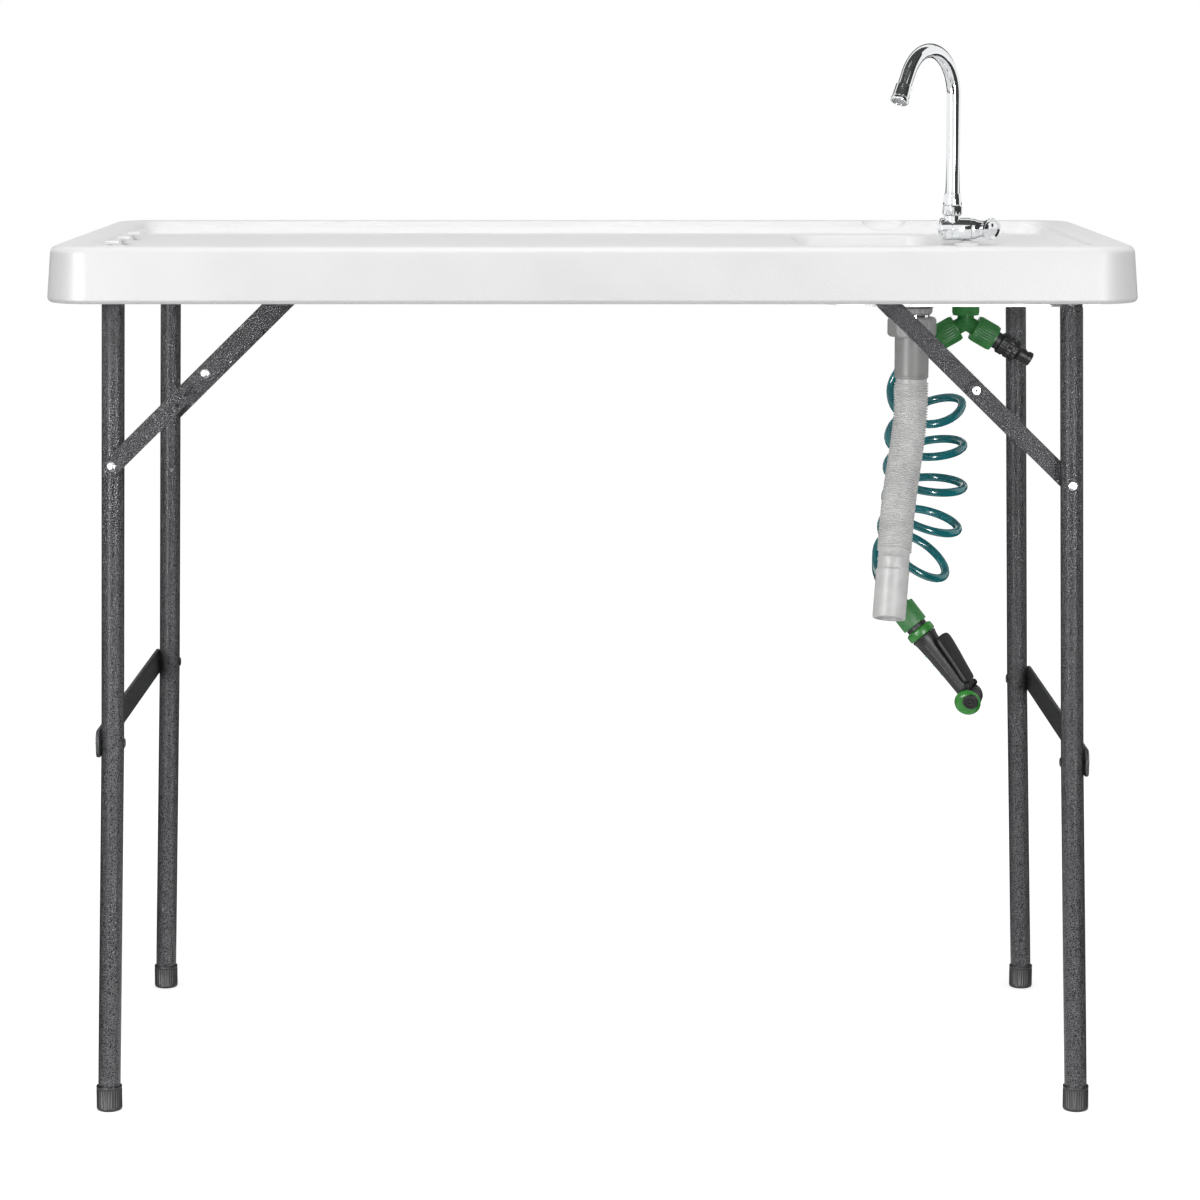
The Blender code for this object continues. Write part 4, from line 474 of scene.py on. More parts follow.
def carve(work, steps):
    """Joins closed worked meshes to a closed one, or cuts them out; returns the new mesh."""
    def hold(one, name):
        data = bpy.data.meshes.new(name)
        bmesh.ops.recalc_face_normals(one, faces=one.faces)
        one.to_mesh(data)
        one.free()
        held = bpy.data.objects.new(name, data)
        bpy.context.scene.collection.objects.link(held)
        return held
    target = hold(work, "carved")
    tools = [hold(one, f"tool_{n}") for n, (_, one) in enumerate(steps)]
    for tool, (operation, _) in zip(tools, steps):
        step = target.modifiers.new(tool.name, "BOOLEAN")
        step.operation, step.solver, step.object = operation, "EXACT", tool
    made = mesh_of(target)
    for held in [target] + tools:
        bpy.data.objects.remove(held, do_unlink=True)
    return made


def smooth_line(points, samples=40):
    """A smooth line through given points."""
    spots = [Vector(p) for p in points]
    spots = [spots[0] * 2 - spots[1]] + spots + [spots[-1] * 2 - spots[-2]]
    line = []
    for a, b, c, d in zip(spots, spots[1:], spots[2:], spots[3:]):
        for n in range(samples):
            t = n / samples
            line.append(0.5 * (2 * b + (c - a) * t + (2 * a - 5 * b + 4 * c - d) * t ** 2
                               + (3 * b - a - 3 * c + d) * t ** 3))
    return line + [spots[-2]]


def line_length(line):
    """Length along a line."""
    return sum((b - a).length for a, b in zip(line, line[1:]))


def at_distance(line, distance):
    """The place and the direction a given distance along a line."""
    for a, b in zip(line, line[1:]):
        step = (b - a).length
        if distance <= step:
            return a.lerp(b, distance / step), b - a
        distance -= step
    return line[-1], line[-1] - line[-2]


def aim(direction, location):
    """A frame at a place with its Z along a direction."""
    turn = Vector(direction).normalized().to_track_quat("Z", "Y")
    return Matrix.Translation(Vector(location)) @ turn.to_matrix().to_4x4()


# Coil hose

def branch(sign, distance):
    """A point down one branch of the splitter."""
    step = Vector((sign * math.cos(BRANCH_ANGLE), 0, -math.sin(BRANCH_ANGLE)))
    return Vector((FAUCET_X, 0, JUNCTION_Z)) + step * distance


def coil_place(turns):
    """A point of the coil after so many turns."""
    angle = math.tau * turns
    share = turns / COIL_LOOPS
    late = max(0.0, turns - COIL_SHIFT_FROM) / (COIL_LOOPS - COIL_SHIFT_FROM)
    middle = Vector(COIL_CENTRE) + branch(LEFT, 0) + Vector((COIL_SHIFT * late ** 1.5, 0, 0))
    radius = COIL_R + COIL_BULGE * math.sin(math.pi * share) - COIL_SHRINK * late * late
    tilt = COIL_SIDE_TILT[0] * (1 - share) * min(1.0, 2 * turns) + COIL_SIDE_TILT[1] * share
    top, drop, bottom = COIL_FRONT_DROP
    drop += (top - drop) * max(0.0, 1 - 2 * share) ** 2 + (bottom - drop) * max(0.0, 2 * share - 1) ** 2
    down = COIL_PITCH * turns + drop * math.sin(angle) + tilt * math.cos(angle)
    return middle - Vector((radius * math.cos(angle), radius * math.sin(angle), down))


def bridge(start, start_way, end, end_way, count=14):
    """Points of a smooth curve between two ends with given directions."""
    points = []
    for n in range(1, count):
        t = n / count
        points.append((2 * t ** 3 - 3 * t ** 2 + 1) * start + (t ** 3 - 2 * t ** 2 + t) * start_way
                      + (3 * t ** 2 - 2 * t ** 3) * end + (t ** 3 - t ** 2) * end_way)
    return points


def gun_frame():
    """Local Z runs up the gun towards the hose, local X to the lever's side."""
    up = -Vector(GUN_AXIS).normalized()
    side = Vector(LEVER_SIDE)
    side = (side - up * side.dot(up)).normalized()
    turn = Matrix((side, up.cross(side), up)).transposed().to_4x4()
    return Matrix.Translation(branch(LEFT, 0) + Vector(GUN_TOP)) @ turn


def coil_route():
    """The hose from the splitter's left nut, down the coil and to the spray gun."""
    way_out = (branch(LEFT, 1) - branch(LEFT, 0)).normalized()
    exit_point = branch(LEFT, BRANCH_END + FIT)
    straight = branch(LEFT, OUT_NUT[1]) + way_out * COIL_TUBE_R * 2
    loops = [coil_place(n / COIL_LOOP_POINTS) for n in range(COIL_LOOPS * COIL_LOOP_POINTS + 1)]
    gun_way = Vector(GUN_AXIS).normalized()
    gun_end = gun_frame().translation - gun_way * FIT
    before = gun_end - gun_way * COIL_TUBE_R * 2
    enter, leave = (loops[1] - loops[0]).normalized(), (loops[-1] - loops[-2]).normalized()
    pull = 0.085
    feed = bridge(straight, way_out * pull, loops[0], enter * pull)
    tail = bridge(loops[-1], leave * pull, before, gun_way * pull)
    return [exit_point, straight] + feed + loops + tail + [before, gun_end]


def make_coil_hose():
    """The teal hose up to its boot, with the boot on its lower end."""
    route = coil_route()
    hose_end = line_length(route) - BOOT_LENGTH
    points, run = [], 0.0
    for a, b in zip(route, route[1:]):
        if run < hose_end - 0.003:
            points.append(a)
        run += (b - a).length
    points.append(at_distance(route, hose_end)[0])
    data = bpy.data.curves.new("coil_hose_tube", "CURVE")
    data.dimensions, data.bevel_depth, data.bevel_resolution = "3D", COIL_TUBE_R, 5
    data.use_fill_caps = True
    line = data.splines.new("POLY")
    line.points.add(len(points) - 1)
    for spot, place in zip(line.points, points):
        spot.co = (*place, 1)
    line.use_smooth = True
    data.materials.append(finish("teal_hose"))
    hose = bpy.data.objects.new("coil_hose_tube", data)
    bpy.context.scene.collection.objects.link(hose)
    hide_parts("coil_hose")
    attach(hose, "table")
    boot = make_hose_boot(route, hose_end)


def make_hose_boot(route, hose_end):
    """Bend relief: a tapered sleeve with a ring groove every 4 mm."""
    work = bmesh.new()
    stations = []
    rows = 58
    for n in range(rows + 1):
        share = n / rows
        spot, way = at_distance(route, hose_end + FIT + (BOOT_LENGTH - FIT) * share)
        radius = BOOT_R * (0.84 + 0.16 * min(1.0, share * 1.6))
        if 0.12 < share < 0.80 and n % 4 == 0:
            radius -= 0.0006
        if n == 0:
            radius -= 0.0005
        stations.append((spot, way, radius))
    sweep(work, stations, 24)
    return finish_piece(work, "hose_boot_sleeve", "table", "black_nylon", ["hose_boot"], sharp=60)


# Drain hose

def make_drain_hose():
    """Ribbed hose with a plain neck and its moulded outlet cuff."""
    start = Vector((*DRAIN_PLACE, CUFF_END))
    line = smooth_line([start + Vector(step) for step in DRAIN_ROUTE])
    total = line_length(line)
    rows = [(0.0, HOSE_GROOVE), (HOSE_START - 0.0008, HOSE_GROOVE)]
    depth = HOSE_CREST - HOSE_GROOVE
    for n in range(HOSE_RIBS):
        base = HOSE_START + n * RIB_PITCH
        for at, rise in ((0.02, 0.0), (0.16, 0.75), (0.28, 1.0), (0.46, 1.0), (0.60, 0.75), (0.80, 0.0)):
            rows.append((base + at * RIB_PITCH, HOSE_GROOVE + depth * rise))
    neck = HOSE_START + (HOSE_RIBS + 0.4) * RIB_PITCH
    rows += [(neck - 0.0012, HOSE_GROOVE), (neck, HOSE_NECK_R), (neck + 0.006, HOSE_NECK_R),
             (neck + 0.0068, HOSE_NECK_R + 0.0007), (neck + 0.0082, HOSE_NECK_R + 0.0007),
             (neck + 0.009, HOSE_NECK_R), (neck + HOSE_NECK, HOSE_NECK_R),
             (neck + HOSE_NECK + 0.0003, OUTLET_R - 0.0007), (neck + HOSE_NECK + 0.0010, OUTLET_R),
             (neck + HOSE_NECK + 0.0034, OUTLET_R), (neck + HOSE_NECK + 0.0040, OUTLET_R - 0.0004),
             (total - 0.001, OUTLET_R - 0.0004), (total, OUTLET_R - 0.0012),
             (total, HOSE_BORE + 0.0006), (total - 0.004, HOSE_BORE), (total - 0.060, HOSE_BORE)]
    stations = []
    for distance, radius in rows:
        spot, way = at_distance(line, distance)
        stations.append((spot, way, radius))
    work = bmesh.new()
    sweep(work, stations, 40)
    hose = finish_piece(work, "drain_hose_tube", "table", "pale_pe", ["drain_hose"], sharp=60)


# Tabletop

def make_tabletop():
    """The panel from its basin floor over the rim to its underside, then its holes and well."""
    edge, lip = sizes().top_edge, sizes().lip_edge
    half_x, half_y = TOP_LENGTH / 2, TOP_WIDTH / 2
    bottom = SKIRT_WALL

    def outer(pairs):
        return [rectangle_loop(half_x - inset, half_y - inset, TOP_CORNER - inset, z)
                for inset, z in pairs]

    def recess(pairs):
        return [rectangle_loop(half_x - RIM_X + grow, half_y - RIM_Y + grow, RECESS_CORNER + grow, z)
                for grow, z in pairs]

    def basin(pairs):
        return [rectangle_loop(BASIN_HALF[0] + grow, BASIN_HALF[1] + grow, BASIN_CORNER + grow, z,
                               BASIN_MIDDLE) for grow, z in pairs]

    fillet, lean = BASIN_FILLET, BASIN_LEAN
    ledge = TOP_HEIGHT - LEDGE_DROP
    loops = basin(arc((-lean - fillet, BASIN_FLOOR + fillet), fillet, -90, 0, 6))
    loops += basin(arc((0.004, FLOOR_Z - 0.004), 0.004, 180, 90, 5))
    loops += recess([(-RECESS_SLOPE - 0.0015, FLOOR_Z)])
    loops += recess(arc((-RECESS_SLOPE - 0.0015, FLOOR_Z + 0.003), 0.003, -70, -15, 3))
    loops += recess([(-0.0030, ledge - 0.0006), (-0.0024, ledge), (-0.0008, ledge + 0.0002)])
    loops += recess(arc((lip - 0.0006, TOP_HEIGHT - lip), lip, 178, 90, 7))
    loops += outer(arc((SKIRT_DRAFT + edge, TOP_HEIGHT - edge), edge, 90, 180, 8))
    loops += outer(arc((bottom, SKIRT_BOTTOM + bottom), bottom, 180, 270, 5))
    loops += outer([(SKIRT_WALL + SKIRT_DRAFT, CEILING - 0.006)])
    loops += outer(arc((SKIRT_WALL + SKIRT_DRAFT + 0.004, CEILING - 0.004), 0.004, 180, 90, 4))
    loops += basin([(BASIN_WALL, CEILING)])
    under = BASIN_FLOOR - BASIN_WALL
    loops += basin(arc((BASIN_WALL - lean - fillet, under + fillet), fillet, 0, -90, 6))
    work = bmesh.new()
    rows = [[work.verts.new(spot) for spot in loop] for loop in loops]
    skin(work, rows)

    here = Matrix.Translation((*DRAIN_PLACE, 0))
    wide = WELL_R + BASIN_WALL
    shell = bmesh.new()
    turn_profile(shell, [(0, under + 0.002), (wide + 0.0015, under + 0.002),
                         (wide + 0.0015, under - 0.0004), (wide + 0.0004, under - 0.0018),
                         (wide, under - 0.004), (wide, WELL_UNDER + 0.003),
                         (wide - 0.0009, WELL_UNDER + 0.0009), (wide - 0.003, WELL_UNDER),
                         (0, WELL_UNDER)], here, 56)
    well = bmesh.new()
    turn_profile(well, [(0, BASIN_FLOOR + 0.006), (WELL_R + 0.0020, BASIN_FLOOR + 0.006),
                        (WELL_R + 0.0020, BASIN_FLOOR + 0.0001), (WELL_R + 0.0006, BASIN_FLOOR - 0.0006),
                        (WELL_R, BASIN_FLOOR - 0.0020), (WELL_R, WELL_FLOOR + 0.002),
                        (WELL_R - 0.0006, WELL_FLOOR + 0.0006), (WELL_R - 0.002, WELL_FLOOR),
                        (0, WELL_FLOOR)], here, 56)
    scoop = bmesh.new()
    bmesh.ops.create_uvsphere(scoop, u_segments=48, v_segments=24, radius=1,
                              matrix=Matrix.LocRotScale(SCOOP_PLACE, None, SCOOP_SIZE))
    steps = [("UNION", shell), ("DIFFERENCE", well), ("DIFFERENCE", scoop)]
    for (x, y), radius, low, high in ((DRAIN_PLACE, DRAIN_HOLE, WELL_UNDER - 0.01, WELL_FLOOR + 0.01),
                                      ((FAUCET_X, 0), DECK_HOLE, CEILING - 0.01, FLOOR_Z + 0.01)):
        cutter = bmesh.new()
        turn_profile(cutter, [(0, high), (radius, high), (radius, low), (0, low)],
                     Matrix.Translation((x, y, 0)), 40)
        steps.append(("DIFFERENCE", cutter))
    data = carve(work, steps)
    work = bmesh.new()
    work.from_mesh(data)
    add_under_ribs(work)
    add_recess_pads(work)
    work.to_mesh(data)
    work.free()
    top = finish_mesh(data, "tabletop_skin", "table", "white_hdpe", ["tabletop"], sharp=38)
    top.modifiers.new("even shading", "WEIGHTED_NORMAL").keep_sharp = True


def add_block(work, low, high, edge):
    """A block with rounded edges, added to a worked mesh."""
    low, high = Vector(low), Vector(high)
    place = Matrix.LocRotScale((low + high) / 2, None, high - low)
    made = bmesh.ops.create_cube(work, size=1, matrix=place)
    edges = {one for spot in made["verts"] for one in spot.link_edges}
    bmesh.ops.bevel(work, geom=list(edges), offset=edge, segments=3, profile=0.5, affect="EDGES")


def add_under_ribs(work):
    """Three stiffening ribs moulded under the cutting side."""
    for y in (-0.105, 0.0, 0.105):
        add_block(work, (-0.460, y - 0.006, CEILING - 0.008), (0.160, y + 0.006, CEILING + 0.001),
                  0.0025)


def add_recess_pads(work):
    """Three small pads on the left wall of the recess."""
    for y in (-0.085, 0.010, 0.105):
        x, z = -(TOP_LENGTH / 2 - RIM_X) + RECESS_SLOPE * 0.2, TOP_HEIGHT - 0.0058
        add_block(work, (x - 0.0045, y - 0.0110, z - 0.0030), (x + 0.0145, y + 0.0110, z + 0.0014),
                  0.0018)


# Leg frames and braces

def pivot_of(sign):
    """The middle of a leg frame's pivot rod."""
    return Vector((sign * PIVOT_X, 0, PIVOT_Z[sign]))


def along_leg(sign, distance):
    """A point down the leg from its pivot, with the bend at the crossbar."""
    upper = min(distance, CROSSBAR_DROP)
    lower = distance - upper
    across = upper * math.sin(UPPER_SPLAY) + lower * math.sin(LOWER_SPLAY)
    down = upper * math.cos(UPPER_SPLAY) + lower * math.cos(LOWER_SPLAY)
    return pivot_of(sign) + Vector((sign * across, 0, -down))


def depth(sign, end, offset):
    """The Y of something that stands off a leg towards its braces."""
    return end * (LEG_Y + BRACE_SIDE[sign] * offset)


def at_depth(point, y):
    """The same point at another Y."""
    return Vector((point.x, y, point.z))


def leg_length(sign, foot_z):
    """Length down the leg to a height."""
    upper_down = CROSSBAR_DROP * math.cos(UPPER_SPLAY)
    return CROSSBAR_DROP + (PIVOT_Z[sign] - upper_down - foot_z) / math.cos(LOWER_SPLAY)


def make_leg(sign, end):
    """One bent steel tube."""
    length = leg_length(sign, FOOT_SOLE + FIT + TUBE_R * math.sin(LOWER_SPLAY))
    y = depth(sign, end, 0)
    steps = [(0.03, TUBE_R - TUBE_WALL), (-TUBE_TOP, TUBE_R - TUBE_WALL), (-TUBE_TOP, TUBE_R - 0.0002),
             (-TUBE_TOP + 0.0004, TUBE_R), (0.20, TUBE_R)]
    steps += [(CROSSBAR_DROP - 0.03, TUBE_R), (CROSSBAR_DROP, TUBE_R), (CROSSBAR_DROP + 0.03, TUBE_R),
              (length - 0.1, TUBE_R), (length, TUBE_R)]
    stations = []
    for distance, radius in steps:
        spot = at_depth(along_leg(sign, distance), y)
        way = along_leg(sign, distance + 0.02) - along_leg(sign, distance - 0.02)
        stations.append((spot, way, radius))
    work = bmesh.new()
    sweep(work, stations, 32)
    name = f"{SIDES[sign]}_{ENDS[end]}_leg"
    finish_piece(work, f"{name}_tube", f"{SIDES[sign]}_leg_frame", "hammertone_paint", [name])


def make_foot(sign, end):
    """Rubber cap with upright flutes, a flared lip and a chamfered sole."""
    centre = along_leg(sign, leg_length(sign, FOOT_SOLE + FIT))
    middle_x = centre.x - sign * FOOT_HEIGHT / 2 * math.sin(LOWER_SPLAY)
    profile = [(TUBE_R + 0.0007, FOOT_HEIGHT - 0.0016), (TUBE_R + 0.0010, FOOT_HEIGHT),
               (FOOT_R - 0.0003, FOOT_HEIGHT), (FOOT_R, FOOT_HEIGHT - 0.0004),
               (FOOT_R, FOOT_HEIGHT - 0.0022), (FOOT_R - 0.0005, FOOT_HEIGHT - 0.0030),
               (FOOT_R, FOOT_HEIGHT - 0.0036), (FOOT_R, 0.0048), (FOOT_R, 0.0042),
               (FOOT_R, 0.0022), (FOOT_R - 0.0007, 0.0007), (FOOT_R - 0.0022, 0), (0.006, 0),
               (0.005, 0.0008), (0, 0.0008)]

    def flutes(angle, row):
        return (-0.0009 * (0.5 + 0.5 * math.cos(28 * angle)) if row in (6, 7) else 0.0), 0.0
    name = f"{SIDES[sign]}_{ENDS[end]}_foot"
    turned_piece(f"{name}_cap", f"{SIDES[sign]}_leg_frame", "black_rubber", [name], profile,
                 Matrix.Translation((middle_x, depth(sign, end, 0), 0)), 128, flutes, sharp=50)


def rivet_profile(low, high, tail=0.0, head=RIVET_HEAD, wide=RIVET_HEAD_R):
    """A rivet with a domed head above high and a flat tail below low."""
    dome = [(0, high + head * 0.92), (wide * 0.20, high + head * 0.94)]
    dome += [(wide * 0.96 * math.sin(math.radians(a)), high + head * math.cos(math.radians(a)))
             for a in (24, 40, 55, 68, 80)]
    profile = dome + [(wide * 0.96, high + head * 0.10), (wide, high + head * 0.05), (wide, high),
                      (RIVET_R, high), (RIVET_R, low)]
    if tail:
        profile += [(wide, low), (wide, low - tail * 0.15), (wide * 0.92, low - tail * 0.6),
                    (wide * 0.7, low - tail * 0.9), (wide * 0.30, low - tail), (0, low - tail)]
    else:
        profile.append((0, low))
    return profile


def make_rivet(name, point, sign, end, low, high, body, tail=0.0):
    """A rivet through a leg or a knee."""
    place = aim((0, end * BRACE_SIDE[sign], 0), at_depth(point, depth(sign, end, 0)))
    turned_piece(f"{name}_head", body, "zinc_steel", [name], rivet_profile(low, high, tail), place, 40,
                 sharp=40)


def make_crossbar(sign):
    """A flat strap across the outer side of both legs, with its rivets."""
    spot = along_leg(sign, CROSSBAR_DROP)
    half, corner, edge = LEG_Y + CROSSBAR_OVERHANG, 0.009, 0.0009
    outline = [(p.x, p.y) for p in rectangle_loop(half, CROSSBAR_HEIGHT / 2, corner, steps=8)]
    lean = CROSSBAR_HEIGHT / 2 * math.sin(LOWER_SPLAY)
    x = spot.x + sign * (TUBE_R + FIT + lean + CROSSBAR_THICK / 2)
    turn = Matrix(((0, 0, 1, x), (1, 0, 0, 0), (0, 1, 0, spot.z), (0, 0, 0, 1)))
    data = round_plate([outline], CROSSBAR_THICK, turn, edge)
    body = f"{SIDES[sign]}_leg_frame"
    finish_mesh(data, f"{SIDES[sign]}_crossbar_strap", body, "hammertone_paint",
                [f"{SIDES[sign]}_crossbar"], sharp=50)
    out = abs(x - spot.x) + CROSSBAR_THICK / 2 - FIT
    for end in ENDS:
        profile = rivet_profile(-TUBE_R - FIT, out, RIVET_HEAD * 0.6)
        turned_piece(f"{SIDES[sign]}_{ENDS[end]}_crossbar_rivet", body, "hammertone_paint", (), profile,
                     aim((sign, 0, 0), at_depth(spot, depth(sign, end, 0))), 24, sharp=40)


def make_pivot_rod(sign):
    """The rod that a leg frame turns on, with its two heads."""
    outer = RAIL_FLANGE[1] if BRACE_SIDE[sign] > 0 else TUBE_R
    half = LEG_Y + outer + FIT
    head = [(0.0, 0.0022), (0.0048, 0.0022), (0.0068, 0.0018), (0.0078, 0.0010), (0.008, 0.0)]
    profile = [(r, half + z) for r, z in head] + [(0.005, half), (0.005, -half)]
    profile += [(r, -half - z) for r, z in reversed(head)]
    name = f"{SIDES[sign]}_pivot_rod"
    turned_piece(f"{name}_steel", f"{SIDES[sign]}_leg_frame", "zinc_steel", [name], profile,
                 aim((0, 1, 0), pivot_of(sign)), 28, sharp=40)


def make_leg_frame(sign):
    """Two legs with feet and rivets, their crossbar and their rod."""
    rivet = along_leg(sign, BRACE_REACH)
    body = f"{SIDES[sign]}_leg_frame"
    for end in ENDS:
        make_leg(sign, end)
        make_foot(sign, end)
        make_rivet(f"{SIDES[sign]}_{ENDS[end]}_leg_rivet", rivet, sign, end, -TUBE_R - FIT,
                   LOWER_LINK[1] + FIT, body, RIVET_HEAD * 0.7)
    make_crossbar(sign)
    make_pivot_rod(sign)


def circle(x, y, radius, count, start=0.0, sweep_angle=math.tau, whole=True):
    """Points of a circle or of a stretch of one."""
    share = count if whole else count - 1
    return [(x + radius * math.cos(start + sweep_angle * i / share),
             y + radius * math.sin(start + sweep_angle * i / share)) for i in range(count)]


def link_place(start, towards, y, sign):
    """The frame of a flat link from one joint towards the next."""
    along = (towards - start).normalized()
    across = Vector((-along.z * -sign, 0, along.x * -sign))
    normal = along.cross(across)
    return Matrix((
        (along.x, across.x, normal.x, start.x), (along.y, across.y, normal.y, y),
        (along.z, across.z, normal.z, start.z), (0, 0, 0, 1)))


def make_brace(sign, end):
    """The lower link from the leg to the knee and the upper one from the rail past it."""
    edge, half = sizes().plate_edge, LINK_WIDTH / 2
    rivet = along_leg(sign, BRACE_REACH)
    pin = pivot_of(sign) - Vector((sign * BRACE_REACH, 0, 0))
    knee = (rivet + pin) / 2
    name = f"{SIDES[sign]}_{ENDS[end]}"
    length = (knee - rivet).length
    outline = circle(0, 0, half, 16, math.pi / 2, math.pi, False)
    outline += circle(length, 0, half, 16, -math.pi / 2, math.pi, False)
    holes = [circle(length - LINK_HOLE_BACK, -half * 0.35, LINK_HOLE_R, 16)]
    y = depth(sign, end, sum(LOWER_LINK) / 2)
    data = round_plate([outline] + holes, LINK_THICK, link_place(rivet, knee, y, sign), edge)
    finish_mesh(data, f"{name}_lower_link", f"{SIDES[sign]}_lower_braces", "hammertone_paint",
                [f"{name}_lower_brace"], sharp=50)
    low, high = LOWER_LINK[0] + LINK_THICK / 2, UPPER_LINK[0] - FIT
    profile = [(0, high), (0.0055, high), (0.006, high - 0.0004), (0.006, low), (0, low)]
    turned_piece(f"{name}_knee_boss", f"{SIDES[sign]}_lower_braces", "hammertone_paint", (), profile,
                 aim((0, end * BRACE_SIDE[sign], 0), at_depth(knee, depth(sign, end, 0))), 24)
    low, wide = LOWER_LINK[0], 0.0046
    profile = [(0, low + 0.001), (wide, low + 0.001), (wide, low - 0.00005),
               (wide * 0.94, low - 0.00025), (wide * 0.6, low - 0.0004),
               (wide * 0.26, low - 0.00035), (wide * 0.2, low), (0, low)]
    turned_piece(f"{name}_knee_rivet_end", f"{SIDES[sign]}_lower_braces", "zinc_steel", (), profile,
                 aim((0, end * BRACE_SIDE[sign], 0), at_depth(knee, depth(sign, end, 0))), 24, sharp=30)
    length = (knee - pin).length
    outline = circle(0, 0, half, 16, math.pi / 2, math.pi, False)
    notch, tip = length + LINK_NOTCH, length + LINK_TIP
    outline += [(notch, -half), (notch, 0), (tip, 0), (tip, half)]
    y = depth(sign, end, sum(UPPER_LINK) / 2)
    data = round_plate([outline], LINK_THICK, link_place(pin, knee, y, -sign), edge)
    finish_mesh(data, f"{name}_upper_link", f"{SIDES[sign]}_upper_braces", "hammertone_paint",
                [f"{name}_upper_brace"], sharp=50)
    make_rivet(f"{name}_knee_rivet", knee, sign, end, UPPER_LINK[0] + FIT / 2, UPPER_LINK[1] + FIT,
               f"{SIDES[sign]}_upper_braces")


def make_rail_fixings(sign, end):
    """Pan-head screws through the rail's web."""
    name = f"{SIDES[sign]}_{ENDS[end]}_rail"
    web = 0.0095 if sign == LEFT else 0.0078
    y = depth(sign, end, RAIL_FLANGE[0]) - end * BRACE_SIDE[sign] * web * 0.55
    z = CEILING - FIT - 0.002
    wide = sizes().screw_head
    profile = [(0, 0.0017), (wide * 0.30, 0.0017), (wide * 0.55, 0.0015), (wide * 0.80, 0.0011),
               (wide, 0.0004), (wide, -0.0002), (0, -0.0002)]

    def cross(angle, row):
        deep = abs(math.cos(2 * angle)) > 0.86 and row in (1, 2)
        return 0.0, -0.0009 if deep else 0.0
    work = bmesh.new()
    near_pivot, aside = 0.016, 0.024
    for share in (0.08, 0.36, 0.64, 0.92):
        x = sign * (RAIL_X[0] + (RAIL_X[1] - RAIL_X[0]) * share)
        if abs(abs(x) - PIVOT_X) < near_pivot:
            x -= sign * aside
        turn_profile(work, profile, aim((0, 0, -1), (x, y, z)), 32, cross)
    finish_piece(work, f"{name}_screws", "table", "zinc_steel", sharp=40)


# Drain

def make_drain():
    """Lock nut, union nut with lugs and upper cuff, from the top down."""
    here = Matrix.Translation((*DRAIN_PLACE, 0))
    under = WELL_UNDER
    bore = 0.0198
    nut_top = under - 2 * FIT - 0.0016

    def scallop(angle, row):
        return (0.0004 * math.cos(24 * angle) if row in (2, 3, 4) else 0.0), 0.0
    profile = [(bore, nut_top), (0.0222, nut_top), (0.0225, nut_top - 0.0008),
               (0.0225, nut_top - 0.0040), (0.0225, nut_top - 0.0052),
               (0.0206, nut_top - 0.0078), (bore, nut_top - 0.0078)]
    turned_piece("drain_locknut_ring", "table", "grey_pvc", ["drain_locknut"], profile, here, 96,
                 scallop, closed=True)

    union_top = under - 0.0131
    union_end = union_top - 0.0212
    wide = 0.0262

    def lugs(angle, row):
        turn = math.degrees(angle) % 45
        near = max(0.0, 1 - max(0.0, min(turn, 45 - turn) - 4.0) / 2.5)
        return (0.0011 * near if row in (3, 4, 5) else 0.0), 0.0
    profile = [(bore, union_top), (wide - 0.0018, union_top), (wide - 0.0004, union_top - 0.0008),
               (wide, union_top - 0.0034), (wide, union_top - 0.0100),
               (wide, union_end + 0.0030), (wide, union_end + 0.0012),
               (wide - 0.0012, union_end), (bore, union_end)]
    turned_piece("drain_union_nut_ring", "table", "grey_pvc", ["drain_union_nut"], profile, here, 144,
                 lugs, closed=True)

    tail_end = WELL_FLOOR + FIT - 0.034
    profile = [(0.0168, tail_end - FIT), (0.0195, tail_end - FIT), (0.0195, union_end - 0.0008),
               (0.0190, union_end - 0.0014), (0.0190, CUFF_END + 0.0040),
               (0.0187, CUFF_END + 0.0036), (0.0187, CUFF_END + 0.0030),
               (0.0190, CUFF_END + 0.0026), (0.0190, CUFF_END + 0.0008),
               (0.0183, CUFF_END), (0.0168, CUFF_END)]
    turned_piece("drain_cuff", "table", "grey_pvc", ["drain_upper_cuff"], profile, here, 48, closed=True)


# Faucet

def make_faucet():
    """All chrome pieces of the tap."""
    make_tap_body()
    make_spout_nut()
    make_spout()
    make_tap_handle()


def along_x(x):
    """A frame on the tap's axis."""
    return Matrix.Translation((x, 0, TAP_Z)) @ Matrix.Rotation(math.pi / 2, 4, "Y")


def make_tap_body():
    """Round body with a domed end and a seam, and the boss that carries the spout."""
    wide, length = 0.0127, TAP_X[1] - TAP_X[0]
    dome = [(wide * math.sin(math.radians(a)), 0.0052 * (1 - math.cos(math.radians(a))))
            for a in (90, 76, 62, 48, 34, 20, 8)]
    profile = [(0, length), (wide - 0.0006, length), (wide - 0.0002, length - 0.0002),
               (wide, length - 0.0006), (wide, 0.0167), (wide - 0.0005, 0.0163),
               (wide - 0.0005, 0.0158), (wide, 0.0154)] + dome + [(0, 0)]
    work = bmesh.new()
    turn_profile(work, profile, along_x(TAP_X[0]), 56)
    turn_profile(work, [(0, BOSS_TOP), (0.0088, BOSS_TOP), (0.0093, BOSS_TOP - 0.0002),
                        (0.0095, BOSS_TOP - 0.0006), (0.0095, TAP_Z + 0.0102), (0.0103, TAP_Z + 0.0086),
                        (0.0105, TAP_Z + 0.0064), (0.0105, TAP_Z), (0, TAP_Z)],
                 Matrix.Translation((SPOUT_X, 0, 0)), 48)
    finish_piece(work, "tap_body_chrome", "table", "chrome_plate", ["faucet_body"])


